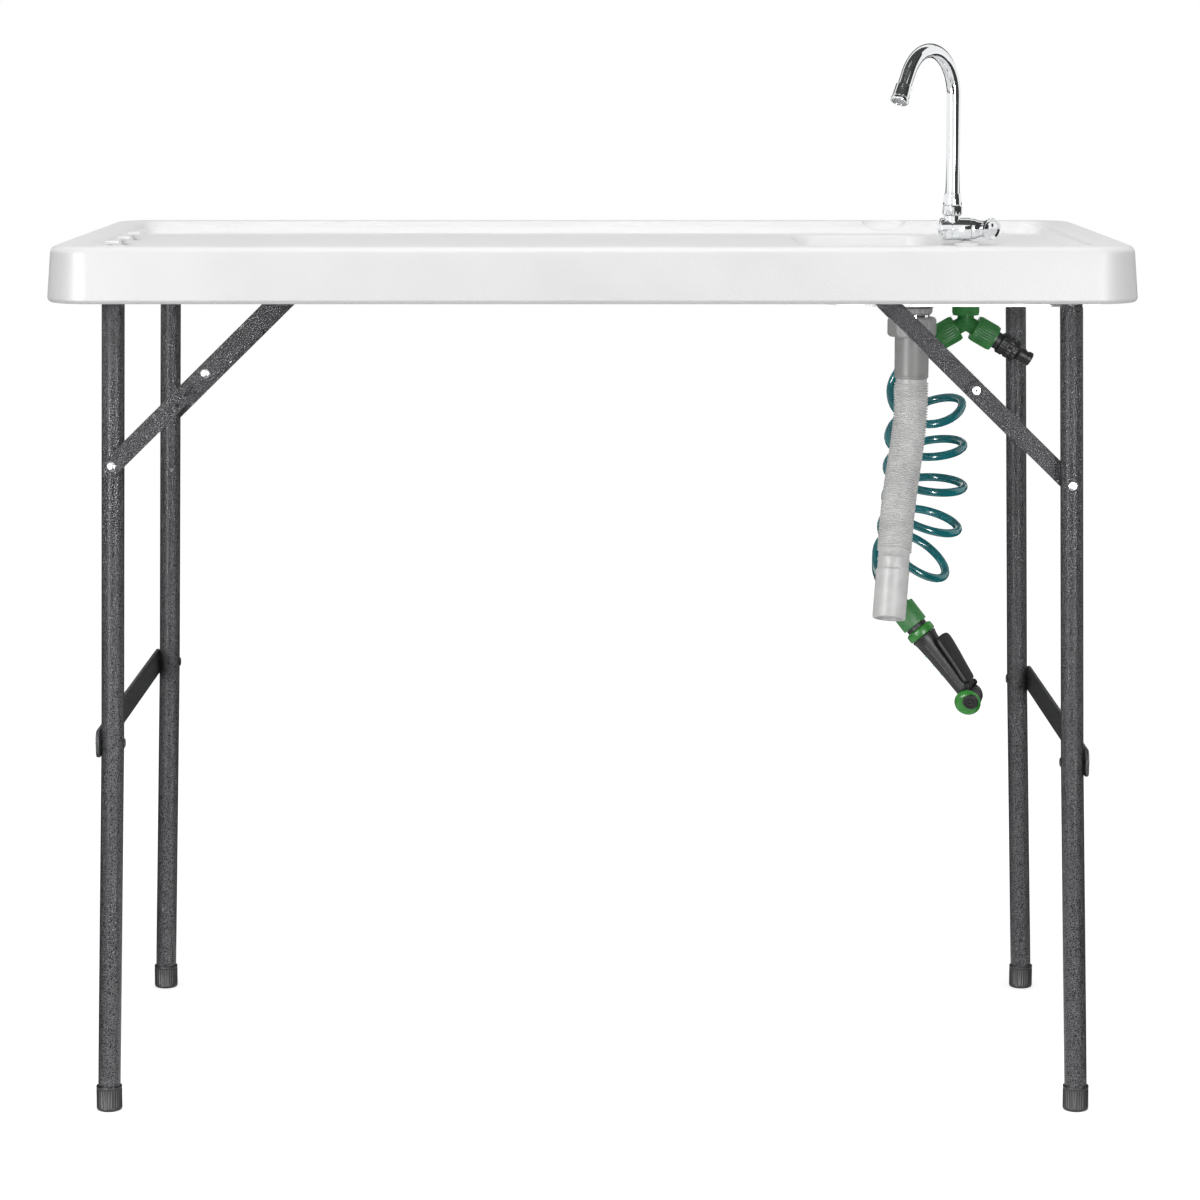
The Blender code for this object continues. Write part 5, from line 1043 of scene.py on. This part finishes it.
def make_spout_nut():
    """Six flats below, a smooth cone above."""
    low, mid, high = BOSS_TOP + FIT, BOSS_TOP + 0.0130, BOSS_TOP + 0.0255
    wide, bore = 0.0115, 0.0083

    def flats(angle, row):
        if row not in (3, 4):
            return 0.0, 0.0
        turn = (angle + math.pi / 6) % (math.pi / 3) - math.pi / 6
        flat = wide * math.cos(math.pi / 6) / math.cos(turn)
        return min(0.0, flat * 1.045 - wide), 0.0
    profile = [(bore, low), (wide * 0.86, low), (wide * 0.90, low + 0.0002), (wide, low + 0.0014),
               (wide, mid - 0.0030), (wide * 0.90, mid - 0.0016), (wide * 0.915, mid - 0.0010),
               (wide * 0.92, mid), (0.0102, mid + 0.0060), (0.0096, high - 0.0012),
               (0.0092, high - 0.0003), (0.0087, high), (bore, high)]
    turned_piece("spout_nut_chrome", "table", "chrome_plate", ["spout_nut"], profile,
                 Matrix.Translation((SPOUT_X, 0, 0)), 72, flats, closed=True, sharp=24)


def spout_line():
    """The spout's centre line: straight up, then over in an arc, with its directions."""
    radius, rise, sweep_angle, drop, turn = 0.0500, 0.1498, math.radians(150), 0.020, math.radians(52)
    out, up = Vector((-math.cos(turn), -math.sin(turn), 0)), Vector((0, 0, 1))
    start = Vector((SPOUT_X, 0, BOSS_TOP + FIT))
    foot = Vector((SPOUT_X, 0, TAP_Z + rise))
    line = [(start, up), (start.lerp(foot, 0.5), up)]
    steps = 44
    for n in range(steps + 1):
        angle = sweep_angle * n / steps
        spot = foot + radius * (out * (1 - math.cos(angle)) + up * math.sin(angle))
        line.append((spot, out * math.sin(angle) + up * math.cos(angle)))
    last, way = line[-1]
    return line + [(last + way * drop, way)]


def make_spout():
    """The swan-neck tube and the aerator at its end."""
    line = spout_line()
    end, way = line[-1]
    stations = [(spot, heading, 0.0080) for spot, heading in line]
    stations += [(end, way, 0.0070), (end - way * 0.012, way, 0.0070)]
    work = bmesh.new()
    sweep(work, stations, 48)
    finish_piece(work, "spout_tube", "swivel_spout", "chrome_plate", ["spout"], sharp=50)
    make_aerator(aim(-way, end))


def make_aerator(place):
    """Shell that screws on the spout, with a fine screen in its mouth."""
    wide, ring, long = 0.0097, 0.0104, 0.0200
    low = -long
    profile = [(0.0083, 0.004), (wide - 0.0008, 0.004), (wide - 0.0002, 0.0036), (wide, 0.003),
               (wide, low + 0.0092), (wide - 0.0005, low + 0.0086), (wide - 0.0005, low + 0.0080),
               (ring - 0.0001, low + 0.0074), (ring, low + 0.0068), (ring, low + 0.0052),
               (ring - 0.0003, low + 0.0044), (ring - 0.0009, low + 0.0040), (0.0085, low + 0.0040),
               (0.0085, -FIT), (0.0083, -FIT)]
    turned_piece("aerator_shell", "swivel_spout", "chrome_plate", ["aerator"], profile, place, 48,
                 closed=True)
    z = low + 0.0050
    profile = [(0, z + 0.0006), (0.0084, z + 0.0006), (0.0084, z + 0.0002), (0, z + 0.0002)]
    turned_piece("aerator_screen_back", "swivel_spout", "black_nylon", (), profile, place, 32)
    wires = bmesh.new()
    pitch, half_wire = 0.0016, 0.00022
    for n in range(-4, 5):
        at = n * pitch
        reach = math.sqrt(0.0083 ** 2 - at ** 2)
        for across in (True, False):
            half = Vector((reach, half_wire, 0.0002) if across else (half_wire, reach, 0.0002))
            middle = Vector((0, at, z)) if across else Vector((at, 0, z))
            made = bmesh.ops.create_cube(wires, size=1)
            bmesh.ops.transform(wires, verts=made["verts"],
                                matrix=place @ Matrix.LocRotScale(middle, None, half * 2))
    finish_piece(wires, "aerator_screen", "swivel_spout", "zinc_steel")


def make_tap_handle():
    """Waisted handle cut off aslant, so that its oval end looks forward and to the right."""
    slant = 0.88
    root, waist, end = 0.0116, 0.0088, 0.0125
    length = HANDLE_X[1] - HANDLE_X[0]
    cut = length - end * slant
    rows = [(0.0, 0.0, 0), (0.0, root - 0.0003, 0), (0.0004, root, 0), (0.004, root, 0),
            (cut * 0.22, root * 0.97, 0.05), (cut * 0.40, waist * 1.07, 0.15),
            (cut * 0.52, waist, 0.28), (cut * 0.64, waist * 1.06, 0.45), (cut * 0.78, end * 0.86, 0.7),
            (cut * 0.90, end * 0.97, 0.9), (cut * 0.96, end, 1.0), (cut, end - 0.0006, 1.0),
            (cut + 0.0001, end - 0.0014, 1.0), (cut - 0.0016, end - 0.0026, 1.0),
            (cut - 0.0018, end - 0.0036, 1.0), (cut - 0.0002, 0.0082, 1.0), (cut + 0.0004, 0.0045, 1.0),
            (cut + 0.0004, 0.0, 1.0)]
    steps = 56
    work = bmesh.new()
    table = []
    for x, radius, share in rows:
        count = 1 if radius == 0 else steps
        row = []
        for i in range(count):
            angle = math.tau * i / steps
            y, z = radius * math.cos(angle), radius * math.sin(angle)
            row.append(work.verts.new((HANDLE_X[0] + x + y * slant * share, y, TAP_Z + z)))
        table.append(row)
    skin(work, table)
    finish_piece(work, "tap_handle_chrome", "handle", "chrome_plate", ["tap_handle"])
    normal = Vector((1, -slant, 0)).normalized()
    spot = Vector((HANDLE_X[0] + cut + 0.0002, 0, TAP_Z))
    profile = [(0, 0.0004), (0.0019, 0.0004), (0.0022, 0.0001), (0.0022, -0.0006),
               (0, -0.0006)]
    turned_piece("tap_handle_dot", "handle", "black_nylon", (), profile,
                 aim(normal, spot + Vector((0, 0, 0.0042))), 24)


# Splitter

def nut_rows(outer, bore, length, mouth=None):
    """A ribbed hose nut: (radius, height, whether the ribs stand there)."""
    lip = 0.0022
    rows = [(mouth or bore, length, 0), (outer - 0.0010, length, 0), (outer - 0.0006, length - 0.0003, 0),
            (outer - 0.0006, length - lip, 0), (outer, length - lip - 0.0004, 1),
            (outer, lip + 0.0004, 1), (outer - 0.0006, lip, 0), (outer - 0.0006, 0.0003, 0),
            (outer - 0.0010, 0, 0), (bore, 0, 0)]
    if mouth:
        wall = length - (BRANCH_END + FIT - OUT_NUT[0])
        rows += [(bore, length - wall, 0), (mouth, length - wall, 0)]
    return rows


def make_nut(name, node, outer, bore, length, place, mouth=None):
    """One ribbed hose nut of the splitter."""
    rows = nut_rows(outer, bore, length, mouth)
    ribs, rise = sizes().nut_ribs, sizes().nut_rib

    def grip(angle, row):
        if not rows[row][2]:
            return 0.0, 0.0
        return -rise * (0.5 - 0.5 * math.cos(ribs * angle)), 0.0
    turned_piece(name, "table", "green_abs", [node], [(r, z) for r, z, _ in rows], place, ribs * 4,
                 grip, closed=True)


def make_splitter():
    """The three nuts of the splitter and its adaptor."""
    low, high = (JUNCTION_Z + step for step in (0.0082, 0.0335))
    make_nut("splitter_top_grip", "splitter_top_nut", 0.0154, 0.0103, high - low,
             Matrix.Translation((FAUCET_X, 0, low)))
    for sign in SIDES:
        place = aim(branch(sign, 1) - branch(sign, 0), branch(sign, OUT_NUT[0]))
        mouth = COIL_TUBE_R + FIT * 2 if sign == LEFT else 0.0079
        make_nut(f"splitter_{SIDES[sign]}_grip", f"splitter_{SIDES[sign]}_nut", 0.0150, 0.0091,
                 OUT_NUT[1] - OUT_NUT[0], place, mouth)
    make_adaptor()


def make_adaptor():
    """Hose-end adaptor: a gripped collar, then a thin spigot with a groove for its ring."""
    wide, thin, neck, start = 0.0124, 0.0079, 0.0098, OUT_NUT[1] + FIT
    step, end = 0.0290, 0.0855 - start
    profile = [(0, end - 0.006), (0.0052, end - 0.006), (0.0056, end), (thin - 0.0012, end),
               (thin - 0.0003, end - 0.0004), (thin, end - 0.0012), (thin, end - 0.005),
               (thin - 0.001, end - 0.0055), (thin - 0.001, end - 0.0090), (thin, end - 0.0096),
               (thin, step + 0.003), (thin + 0.0012, step + 0.0008), (wide - 0.0022, step),
               (wide - 0.0006, step - 0.0006), (wide, step - 0.002)]
    first = len(profile)
    for n in range(2):
        low = step - 0.0078 - n * 0.0072
        profile += [(wide, low + 0.0030), (wide - 0.0012, low + 0.0024), (wide - 0.0012, low + 0.0006),
                    (wide, low)]
    last = len(profile)
    profile += [(wide, 0.0074), (wide - 0.0010, 0.0062), (neck, 0.0056), (neck, 0.0004),
                (neck - 0.0004, 0), (0, 0)]

    def grip(angle, row):
        if first <= row < last and profile[row][0] == wide:
            return -0.0009 * (0.5 - 0.5 * math.cos(20 * angle)), 0.0
        return 0.0, 0.0
    turned_piece("supply_adaptor_body", "table", "black_nylon", ["supply_adaptor"], profile,
                 aim(branch(RIGHT, 1) - branch(RIGHT, 0), branch(RIGHT, start)), 96, grip)


# Spray gun

def make_gun():
    """The spray gun, from its connector down."""
    place = gun_frame()
    make_gun_top(place)
    make_gun_body(place)
    make_gun_lever(place)
    make_gun_nozzle(place)


def make_gun_top(place):
    """Connector sleeve with its textured grip, and the bright collar below it."""
    wide, top, end, bore = 0.0150, -0.0040, -0.0310, 0.0111
    profile = [(bore, top - 0.001), (bore + 0.0006, top), (wide - 0.0016, top),
               (wide - 0.0005, top - 0.0004), (wide, top - 0.0014), (wide, end + 0.0012),
               (wide - 0.0003, end + 0.0003),
               (wide - 0.0012, end), (bore, end)]
    turned_piece("connector_sleeve_grip", "sleeve", "green_abs", ["connector_sleeve"], profile, place,
                 64, closed=True, look="green_grip")
    wide, top, end = 0.0160, -0.0355, -0.0455
    profile = [(0, top), (wide - 0.0027, top), (wide - 0.0020, top - 0.0003), (wide - 0.0002, top - 0.0018),
               (wide, top - 0.0024), (wide, end + 0.0017), (wide - 0.0004, end + 0.0006),
               (wide - 0.0015, end), (0, end)]
    turned_piece("gun_collar_ring", "table", "green_abs", ["gun_collar"], profile, place, 64,
                 look="green_bright")


def make_gun_body(place):
    """Tapered grip with a parting line and three small green studs on its back."""
    top, end = GUN_BODY

    def radius_at(share):
        for (a, low), (b, high) in zip(GUN_TAPER, GUN_TAPER[1:]):
            if share <= b:
                t = (share - a) / (b - a)
                return low + (high - low) * t
        return GUN_TAPER[-1][1]
    rows = 26
    profile = [(0, -top), (GUN_TAPER[0][1] - 0.0012, -top), (GUN_TAPER[0][1] - 0.0003, -top - 0.0003)]
    profile += [(radius_at(n / rows), -top - (end - top) * n / rows - (0.0010 if n == 0 else 0))
                for n in range(rows + 1)]
    profile += [(GUN_TAPER[-1][1] * 0.94, -HEAD_AT + 0.004), (GUN_TAPER[-1][1] * 0.8, -HEAD_AT),
                (0, -HEAD_AT)]
    work = bmesh.new()

    def seam(angle, row):
        near = min(abs(math.degrees(angle) - 180 + side) for side in (-112, 112))
        return (-0.0005 if near < 2.6 and 5 < row < 26 else 0.0), 0.0
    turn_profile(work, profile, place, 96, seam)
    centre = place @ Vector((0, 0, -HEAD_AT))
    forward = Vector(NOZZLE_WAY).normalized()
    turn_profile(work, [
        (0, 0.0110), (0.0126, 0.0110), (0.0134, 0.0107), (0.0136, 0.0100), (0.0136, 0.0040),
        (0.0132, 0.0034), (0.0132, 0.0026), (0.0136, 0.0020), (0.0136, -0.0046), (0.0124, -0.0082),
        (0.0102, -0.0106), (0.0070, -0.0120), (0.0036, -0.0125), (0, -0.0125)], aim(forward, centre), 48)
    for sign in (-1, 1):
        add_ear(work, place, sign)
    finish_piece(work, "gun_body_grip", "table", "black_nylon", ["gun_body"], sharp=30)
    studs = bmesh.new()
    away = Vector((-0.55, -0.83, 0)).normalized()
    for along in (0.0660, 0.0790, 0.0920):
        radius = radius_at((along - top) / (end - top))
        spot = place @ (away * (radius - 0.0004) + Vector((0, 0, -along)))
        turn_profile(studs, [(0, 0.0010), (0.0012, 0.0009), (0.0018, 0.0004), (0.0019, -0.0006),
                             (0, -0.0006)], aim(place.to_3x3() @ away, spot), 16)
    finish_piece(studs, "gun_studs", "table", "green_abs")


def add_ear(work, place, sign):
    """One of the two ears that hold the lever's pin."""
    off, along, half, thick, wide = 0.0130, 0.1205, 0.0043, 0.0026, 0.0036
    outline = circle(off, -along, wide, 12, -math.pi / 2, math.pi, False)
    outline += [(off - 0.010, -along + wide), (off - 0.010, -along - wide)]
    rows = []
    for y in (half, half + thick):
        rows.append([work.verts.new(place @ Vector((x, sign * y, z))) for x, z in outline])
    skin(work, rows)


def make_gun_lever(place):
    """Paddle lever: thick and broad at its free end, narrow at its pivot."""
    off, along, tip_off, tip_along = 0.0130, 0.1205, 0.0222, 0.0585
    stations = [(-0.03, 0.0036, 0.0018), (0.0, 0.0040, 0.0030), (0.062, 0.0041, 0.0034),
                (0.085, 0.0080, 0.0032), (0.13, 0.0088, 0.0029), (0.25, 0.0090, 0.0026),
                (0.40, 0.0094, 0.0025), (0.60, 0.0102, 0.0026), (0.80, 0.0110, 0.0028),
                (0.92, 0.0110, 0.0029), (0.97, 0.0103, 0.0028), (1.00, 0.0088, 0.0023),
                (1.018, 0.0062, 0.0014), (1.024, 0.0034, 0.0006)]
    start, end = Vector((off, 0, -along)), Vector((tip_off, 0, -tip_along))
    way = (end - start).normalized()
    out = Vector((way.z, 0, -way.x))
    if out.x < 0:
        out = -out
    work = bmesh.new()
    rows = []
    steps = 32
    for share, half_wide, half_thick in stations:
        middle = start.lerp(end, share) + out * (0.0010 * math.sin(math.pi * min(1, max(0, share))))
        row = []
        for i in range(steps):
            angle = math.tau * i / steps
            c, s = math.cos(angle), math.sin(angle)
            y = half_wide * math.copysign(abs(c) ** 0.5, c)
            t = half_thick * math.copysign(abs(s) ** 0.7, s)
            row.append(work.verts.new(place @ (middle + Vector((0, y, 0)) + out * t)))
        rows.append(row)
    skin(work, rows)
    finish_piece(work, "gun_lever_paddle", "lever", "black_nylon", ["gun_lever"], sharp=60)


def make_gun_nozzle(place):
    """Round spray head: a dished face with an off-centre hub."""
    forward = Vector(NOZZLE_WAY).normalized()
    start = place @ Vector((0, 0, -HEAD_AT)) + forward * 0.0113
    seat = aim(forward, start)
    wide, long = 0.0148, 0.0100

    def grip(angle, row):
        return (-0.0004 * (0.5 - 0.5 * math.cos(30 * angle)) if row in (7, 8) else 0.0), 0.0
    profile = [
        (0, long - 0.0004), (0.0060, long - 0.0003), (wide - 0.0044, long - 0.0004),
        (wide - 0.0030, long - 0.0010), (wide - 0.0016, long - 0.0022), (wide - 0.0006, long - 0.0038),
        (wide - 0.0001, long - 0.0054), (wide, long - 0.0062), (wide, 0.0024), (wide - 0.0004, 0.0010),
        (wide - 0.0012, 0), (0, 0)]
    turned_piece("gun_nozzle_head", "nozzle", "green_abs", ["gun_nozzle"], profile, seat, 120, grip,
                 look="green_bright")
    right = seat.to_3x3().inverted() @ Vector((1, 0, 0))
    above = seat.to_3x3().inverted() @ Vector((0, 0, 1))
    hub = (right + above)
    hub.z = 0
    hub = hub.normalized() * 0.0060
    place_hub = seat @ Matrix.Translation((hub.x, hub.y, 0))
    profile = [
        (0, long + 0.0002), (0.0016, long + 0.0002), (0.0020, long + 0.0012), (0.0036, long + 0.0014),
        (0.0040, long + 0.0004), (0.0056, long + 0.0004), (0.0060, long + 0.0014),
        (0.0078, long + 0.0012), (0.0086, long + 0.0002), (0.0086, long - 0.0030), (0, long - 0.0030)]
    turned_piece("gun_nozzle_hub", "nozzle", "black_nylon", (), profile, place_hub, 48)


# Parts kept as the frame has them

KEPT = {
    "zinc_steel": ["left_front_rail", "left_rear_rail", "right_front_rail", "right_rear_rail", "lever_pin"],
    "chrome_plate": ["drain_strainer"],
    "black_rubber": ["drain_gasket"],
    "white_plastic": ["faucet_base", "faucet_mounting_nut"],
    "green_abs": ["splitter_body"],
    "black_nylon": ["gun_connector"],
}


def smoothing_group():
    """Joins the frame's loose triangles and smooths all but their sharp edges."""
    found = bpy.data.node_groups.get("smooth_frame_part")
    if found:
        return found
    tree = bpy.data.node_groups.new("smooth_frame_part", "GeometryNodeTree")
    tree.interface.new_socket("Geometry", in_out="INPUT", socket_type="NodeSocketGeometry")
    tree.interface.new_socket("Geometry", in_out="OUTPUT", socket_type="NodeSocketGeometry")
    entry = add_node(tree, "NodeGroupInput")
    joined = add_node(tree, "GeometryNodeMergeByDistance", {0: entry.outputs[0], 2: 0.00001})
    plain = add_node(tree, "GeometryNodeSetMeshNormal", {0: joined.outputs[0], 1: True})
    faces = add_node(tree, "GeometryNodeSetShadeSmooth", {0: plain.outputs[0], 2: True}, domain="FACE")
    angle = add_node(tree, "GeometryNodeInputMeshEdgeAngle")
    soft = add_node(tree, "FunctionNodeCompare", {0: angle.outputs[0], 1: math.radians(35)},
                    operation="LESS_THAN")
    edges = add_node(tree, "GeometryNodeSetShadeSmooth", {0: faces.outputs[0], 2: soft.outputs[0]},
                     domain="EDGE")
    add_node(tree, "NodeGroupOutput", {0: edges.outputs[0]})
    return tree


def finish_kept_parts():
    """Gives the kept parts their finish and smooth shading."""
    for look, names in KEPT.items():
        for name in names:
            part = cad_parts[name]
            for slot in part.material_slots:
                slot.material = finish(look)
            part.modifiers.new("smooth", "NODES").node_group = smoothing_group()


# Studio

def make_studio():
    """Camera, floor, lamps and flags of the photo."""
    scene = bpy.context.scene
    scene.view_settings.view_transform = "Standard"
    lens = bpy.data.cameras.new("photo_camera")
    lens.lens, lens.sensor_width, lens.shift_y = 106.715, 36.0, -0.1
    camera = bpy.data.objects.new("photo_camera", lens)
    scene.collection.objects.link(camera)
    camera.location = (0.0079, -4.0157, 1.1494)
    tilt_down = 0.1216
    camera.rotation_euler = (math.pi / 2 - tilt_down, 0, 0)
    scene.camera = camera

    floor_data = bpy.data.meshes.new("studio_floor")
    reach = 14.0
    floor_data.from_pydata([(-reach, -reach, 0), (reach, -reach, 0), (reach, reach, 0),
                            (-reach, reach, 0)], [], [(0, 1, 2, 3)])
    floor = bpy.data.objects.new("studio_floor", floor_data)
    scene.collection.objects.link(floor)
    floor_data.materials.append(painted_floor())
    light_world()
    add_lamp("overhead_softbox", (0, -1.3, 3.6), (0, 0, 0.65), (1.1, 1.1), 44)
    add_lamp("left_softbox", (-1.9, -2.9, 2.2), (-0.10, 0, 0.65), (0.7, 0.7), 15)
    add_lamp("right_softbox", (2.0, -2.8, 2.2), (0.10, 0, 0.65), (0.7, 0.7), 8)
    add_lamp("left_strip", (-1.59, -2.17, 0.70), (-0.45, 0, 0.62), (0.36, 1.36), 100, False)
    add_lamp("right_strip", (1.25, -2.45, 0.70), (0.45, 0, 0.62), (0.30, 1.36), 62, False)
    add_flag("right_flag", (1.75, -1.55, 1.2), (0, math.pi / 2, 0), (1.3, 1.5))
    add_flag("left_flag", (-1.75, -0.55, 0.42), (0, math.pi / 2, 0), (0.42, 1.65))
    add_flag("ceiling_flag", (0.2, -0.5, 2.75), (0, 0, 0), (1.8, 1.3), 0.10)
    add_flag("back_flag", (0, 2.2, 0.45), (math.pi / 2, 0, 0), (3.2, 0.45))
    add_flag("back_top_flag", (0, 2.2, 2.25), (math.pi / 2, 0, 0), (2.4, 0.75), 0.18)
    for name, x in (("left_floor_flag", -1.60), ("right_floor_flag", 1.60)):
        add_flag(name, (x, 0.2, 0.002), (0, 0, 0), (1.0, 2.0))
    add_flag("rear_floor_flag", (0, 1.3, 0.002), (0, 0, 0), (0.6, 0.9))
    add_flag("front_floor_flag", (0, -1.9, 0.002), (0, 0, 0), (0.9, 1.4))
    add_flag("front_flag", (0, -3.4, 0.40), (math.pi / 2, 0, 0), (0.9, 0.40))


def background_rays(tree):
    """1 for rays that should see a white background: from the camera, mirrors and glass."""
    path = add_node(tree, "ShaderNodeLightPath")
    both = add_node(tree, "ShaderNodeMath", {0: path.outputs["Is Camera Ray"],
                    1: path.outputs["Is Glossy Ray"]}, operation="MAXIMUM")
    return add_node(tree, "ShaderNodeMath", {0: both.outputs[0],
                    1: path.outputs["Is Transmission Ray"]}, operation="MAXIMUM").outputs[0]


def painted_floor():
    """Matt white studio paint: it holds the object's shadow and clips to white elsewhere."""
    made = bpy.data.materials.new("matt_white_floor_paint")
    made.use_nodes = True
    tree = made.node_tree
    tree.nodes.clear()
    place = add_node(tree, "ShaderNodeTexCoord")
    cloud = add_node(tree, "ShaderNodeTexNoise", {0: place.outputs["Object"], "Scale": 1.5})
    tone = add_node(tree, "ShaderNodeMapRange", {0: cloud.outputs[0], 3: 0.80, 4: 0.83})
    paint = add_node(tree, "ShaderNodeBsdfDiffuse", {0: tone.outputs[0]})
    seen = add_node(tree, "ShaderNodeMath", {0: background_rays(tree), 1: 0.67}, operation="MULTIPLY")
    glow = add_node(tree, "ShaderNodeEmission", {0: (1, 1, 1, 1), 1: seen.outputs[0]})
    both = add_node(tree, "ShaderNodeAddShader", {0: paint.outputs[0], 1: glow.outputs[0]})
    add_node(tree, "ShaderNodeOutputMaterial", {0: both.outputs[0]})
    return made


def light_world():
    """Soft light from all round, with a white background for the camera."""
    world = bpy.data.worlds.new("white_studio")
    bpy.context.scene.world = world
    world.use_nodes = True
    tree = world.node_tree
    tree.nodes.clear()
    strength = add_node(tree, "ShaderNodeMapRange", {0: background_rays(tree), 3: 0.42, 4: 1.0})
    sky = add_node(tree, "ShaderNodeBackground", {0: (1, 1, 1, 1), 1: strength.outputs[0]})
    add_node(tree, "ShaderNodeOutputWorld", {0: sky.outputs[0]})


def add_lamp(name, place, target, size, power, lights_matt=True):
    """A softbox; a strip that matt surfaces do not see only draws streaks on gloss."""
    data = bpy.data.lights.new(name, "AREA")
    data.shape, data.energy = "RECTANGLE", power
    data.size, data.size_y = size
    lamp = bpy.data.objects.new(name, data)
    bpy.context.scene.collection.objects.link(lamp)
    lamp.location, lamp.visible_diffuse = place, lights_matt
    way = Vector(target) - Vector(place)
    lamp.rotation_euler = way.to_track_quat("-Z", "Y").to_euler()


def add_flag(name, place, turn, half, tone=0.03):
    """A dark card that only polished surfaces see, as a studio uses beside chrome."""
    data = bpy.data.meshes.new(name)
    x, y = half
    data.from_pydata([(-x, -y, 0), (x, -y, 0), (x, y, 0), (-x, y, 0)], [], [(0, 1, 2, 3)])
    felt = "grey_felt" if tone > 0.03 else "black_felt"
    made = bpy.data.materials.new(f"{felt}_{name}")
    made.use_nodes = True
    shader = made.node_tree.nodes["Principled BSDF"]
    shader.inputs["Base Color"].default_value = (tone, tone, tone, 1)
    shader.inputs["Roughness"].default_value = 1.0
    data.materials.append(made)
    flag = bpy.data.objects.new(name, data)
    bpy.context.scene.collection.objects.link(flag)
    flag.location, flag.rotation_euler = place, turn
    flag.visible_camera = flag.visible_diffuse = flag.visible_shadow = False
    flag.visible_transmission = False


# Operators and panel

class SINKTABLE_OT_studio(bpy.types.Operator):
    """Sets the camera, floor and lights"""
    bl_idname = "sink_table.studio"
    bl_label = "Studio"

    def execute(self, context):
        make_studio()
        return {"FINISHED"}


class SINKTABLE_OT_coil_hose(bpy.types.Operator):
    """Coil hose and its boot"""
    bl_idname = "sink_table.coil_hose"
    bl_label = "Coil hose"

    def execute(self, context):
        make_coil_hose()
        return {"FINISHED"}


class SINKTABLE_OT_drain_hose(bpy.types.Operator):
    """Ribbed drain hose"""
    bl_idname = "sink_table.drain_hose"
    bl_label = "Drain hose"

    def execute(self, context):
        make_drain_hose()
        return {"FINISHED"}


class SINKTABLE_OT_tabletop(bpy.types.Operator):
    """White tabletop with its recess and basin"""
    bl_idname = "sink_table.tabletop"
    bl_label = "Tabletop"

    def execute(self, context):
        make_tabletop()
        return {"FINISHED"}


class SINKTABLE_OT_leg_frames(bpy.types.Operator):
    """Leg tubes, foot caps, straps, rods and rivets"""
    bl_idname = "sink_table.leg_frames"
    bl_label = "Leg frames"

    def execute(self, context):
        for sign in SIDES:
            make_leg_frame(sign)
        return {"FINISHED"}


class SINKTABLE_OT_braces(bpy.types.Operator):
    """Folding brace links and the rails' screws"""
    bl_idname = "sink_table.braces"
    bl_label = "Braces and screws"

    def execute(self, context):
        for sign in SIDES:
            for end in ENDS:
                make_brace(sign, end)
                make_rail_fixings(sign, end)
        return {"FINISHED"}


class SINKTABLE_OT_drain(bpy.types.Operator):
    """Drain nuts and cuff"""
    bl_idname = "sink_table.drain"
    bl_label = "Drain fittings"

    def execute(self, context):
        make_drain()
        return {"FINISHED"}


class SINKTABLE_OT_faucet(bpy.types.Operator):
    """Chrome tap with its spout, aerator and handle"""
    bl_idname = "sink_table.faucet"
    bl_label = "Faucet"

    def execute(self, context):
        make_faucet()
        return {"FINISHED"}


class SINKTABLE_OT_splitter(bpy.types.Operator):
    """Splitter nuts and the supply adaptor"""
    bl_idname = "sink_table.splitter"
    bl_label = "Splitter"

    def execute(self, context):
        make_splitter()
        return {"FINISHED"}


class SINKTABLE_OT_gun(bpy.types.Operator):
    """Spray gun"""
    bl_idname = "sink_table.gun"
    bl_label = "Spray gun"

    def execute(self, context):
        make_gun()
        return {"FINISHED"}


class SINKTABLE_OT_kept_parts(bpy.types.Operator):
    """Finishes for the parts that keep the frame's shape"""
    bl_idname = "sink_table.kept_parts"
    bl_label = "Kept parts"

    def execute(self, context):
        finish_kept_parts()
        return {"FINISHED"}


STEPS = (
    SINKTABLE_OT_studio, SINKTABLE_OT_coil_hose, SINKTABLE_OT_drain_hose, SINKTABLE_OT_tabletop,
    SINKTABLE_OT_leg_frames, SINKTABLE_OT_braces, SINKTABLE_OT_drain, SINKTABLE_OT_faucet,
    SINKTABLE_OT_splitter, SINKTABLE_OT_gun, SINKTABLE_OT_kept_parts,
)


class SINKTABLE_PT_panel(bpy.types.Panel):
    """Lists the sizes, the colours and the steps"""
    bl_idname = "SINKTABLE_PT_panel"
    bl_label = "Sink table"
    bl_space_type = "VIEW_3D"
    bl_region_type = "UI"
    bl_category = "Sink table"

    def draw(self, context):
        for group in (context.scene.sink_table_sizes, context.scene.sink_table_colours):
            for name in group.__annotations__:
                self.layout.prop(group, name)
        for step in STEPS:
            self.layout.operator(step.bl_idname)


CLASSES = (SinkTableSizes, SinkTableColours) + STEPS + (SINKTABLE_PT_panel,)


def register():
    for one in CLASSES:
        bpy.utils.register_class(one)
    bpy.types.Scene.sink_table_sizes = PointerProperty(type=SinkTableSizes)
    bpy.types.Scene.sink_table_colours = PointerProperty(type=SinkTableColours)


def unregister():
    del bpy.types.Scene.sink_table_colours
    del bpy.types.Scene.sink_table_sizes
    for one in reversed(CLASSES):
        bpy.utils.unregister_class(one)


def main():
    register()
    bpy.ops.sink_table.studio()
    bpy.ops.sink_table.coil_hose()
    bpy.ops.sink_table.drain_hose()
    bpy.ops.sink_table.tabletop()
    bpy.ops.sink_table.leg_frames()
    bpy.ops.sink_table.braces()
    bpy.ops.sink_table.drain()
    bpy.ops.sink_table.faucet()
    bpy.ops.sink_table.splitter()
    bpy.ops.sink_table.gun()
    bpy.ops.sink_table.kept_parts()


if __name__ == "__main__":
    main()
